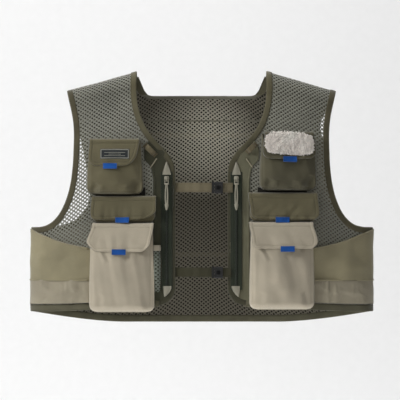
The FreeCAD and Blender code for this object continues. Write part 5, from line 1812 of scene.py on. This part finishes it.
# ---- stage ---------------------------------------------------------------------------------

VIEW_WIDE = 0.772          # metres across the picture at the vest
VIEW_MIDDLE = (-0.0029, -0.1898)
CAMERA_AWAY = 9.0
WALL_Y = 1.1
FLOOR_Z = -1.5
BACKDROP_RADIUS = 0.7
AMBIENT = 0.17             # the world's light on the vest
SEEN_WORLD = 0.9           # the world as the camera sees it past the floor
# name, place, what it points at (metres), diameter, watts
LAMPS = (
    ("key", (-2.5, -1.6, 1.4), (0, 0, -0.2), 1.5, 70),
    ("fill", (-0.3, -3.3, 0.5), (0, 0, -0.2), 2.4, 9),
    ("top", (-0.3, -0.5, 2.2), (0, 0, -0.2), 1.4, 10),
    ("wall", (0.0, 0.3, 1.9), (0, 1.1, -0.1), 2.0, 15),
    ("wall_low", (0.0, 0.3, -1.4), (0, 1.1, -0.5), 2.0, 11.5),
)


def see_through_back(piece):
    """Lets the view through the backdrop from behind, so the vest can be seen from every side."""
    nodes = piece.data.materials[0].node_tree.nodes
    links = piece.data.materials[0].node_tree.links
    output = next(n for n in nodes if n.type == "OUTPUT_MATERIAL")
    clear, mixer = nodes.new("ShaderNodeBsdfTransparent"), nodes.new("ShaderNodeMixShader")
    paper = output.inputs["Surface"].links[0].from_socket
    facing = nodes.new("ShaderNodeNewGeometry").outputs["Backfacing"]
    links.new(facing, mixer.inputs[0])
    links.new(paper, mixer.inputs[1])
    links.new(clear.outputs[0], mixer.inputs[2])
    links.new(mixer.outputs[0], output.inputs["Surface"])


def build_stage():
    """Pale floor that curves up into a backdrop, soft light from the upper left, camera."""
    shader = Shader("stage_paper", 0.95)
    fine = shader.noise(60, 3)
    white = shader.colours(fine, (0.3, (0.90, 0.90, 0.90)), (0.7, (0.92, 0.92, 0.92)))
    paper = shader.finish(white, fine, 0.02, 0.001)
    turn = np.linspace(0, np.pi / 2, 24)
    curve_y = WALL_Y - BACKDROP_RADIUS + BACKDROP_RADIUS * np.sin(turn)
    curve_z = FLOOR_Z + BACKDROP_RADIUS - BACKDROP_RADIUS * np.cos(turn)
    y = np.concatenate([[-12.0], curve_y, [WALL_Y]]) / MM
    z = np.concatenate([[FLOOR_Z], curve_z, [3.0]]) / MM
    x = np.linspace(-8000, 8000, 5)
    points = np.stack([np.broadcast_to(x[:, None], (5, len(y))), np.broadcast_to(y, (5, len(y))),
                       np.broadcast_to(z, (5, len(z)))], -1)
    points = points.reshape(-1, 3)
    floor = make("floor", points, grid_faces(5, len(y)), points[:, :2], paper)
    see_through_back(floor)
    for name, place, aim, size, power in LAMPS:
        light = bpy.data.lights.new(name, "AREA")
        light.shape = "DISK"
        light.size = size
        light.energy = power
        lamp = bpy.data.objects.new(name, light)
        lamp.location = place
        lamp.rotation_euler = (Vector(aim) - Vector(place)).to_track_quat("-Z", "Y").to_euler()
        bpy.context.scene.collection.objects.link(lamp)
    world = bpy.data.worlds.new("studio")
    world.use_nodes = True
    ambient = world.node_tree.nodes["Background"]
    ambient.inputs[0].default_value = (1, 1, 1, 1)
    seen = world.node_tree.nodes.new("ShaderNodeLightPath").outputs["Is Camera Ray"]
    strength = world.node_tree.nodes.new("ShaderNodeMapRange")
    strength.inputs["To Min"].default_value = AMBIENT
    strength.inputs["To Max"].default_value = SEEN_WORLD
    world.node_tree.links.new(seen, strength.inputs["Value"])
    world.node_tree.links.new(strength.outputs[0], ambient.inputs[1])
    bpy.context.scene.world = world
    camera = bpy.data.cameras.new("camera")
    camera.sensor_width = 36.0
    camera.lens = camera.sensor_width * (CAMERA_AWAY - 0.08) / VIEW_WIDE
    eye = bpy.data.objects.new("camera", camera)
    eye.location = (VIEW_MIDDLE[0], -CAMERA_AWAY, VIEW_MIDDLE[1])
    eye.rotation_euler = (math.radians(90), 0, 0)
    bpy.context.scene.collection.objects.link(eye)
    bpy.context.scene.camera = eye
    bpy.context.scene.view_settings.view_transform = "Standard"


build_stage()
build_shell()
build_sides()
build_pockets()
build_front_details()
build_back()
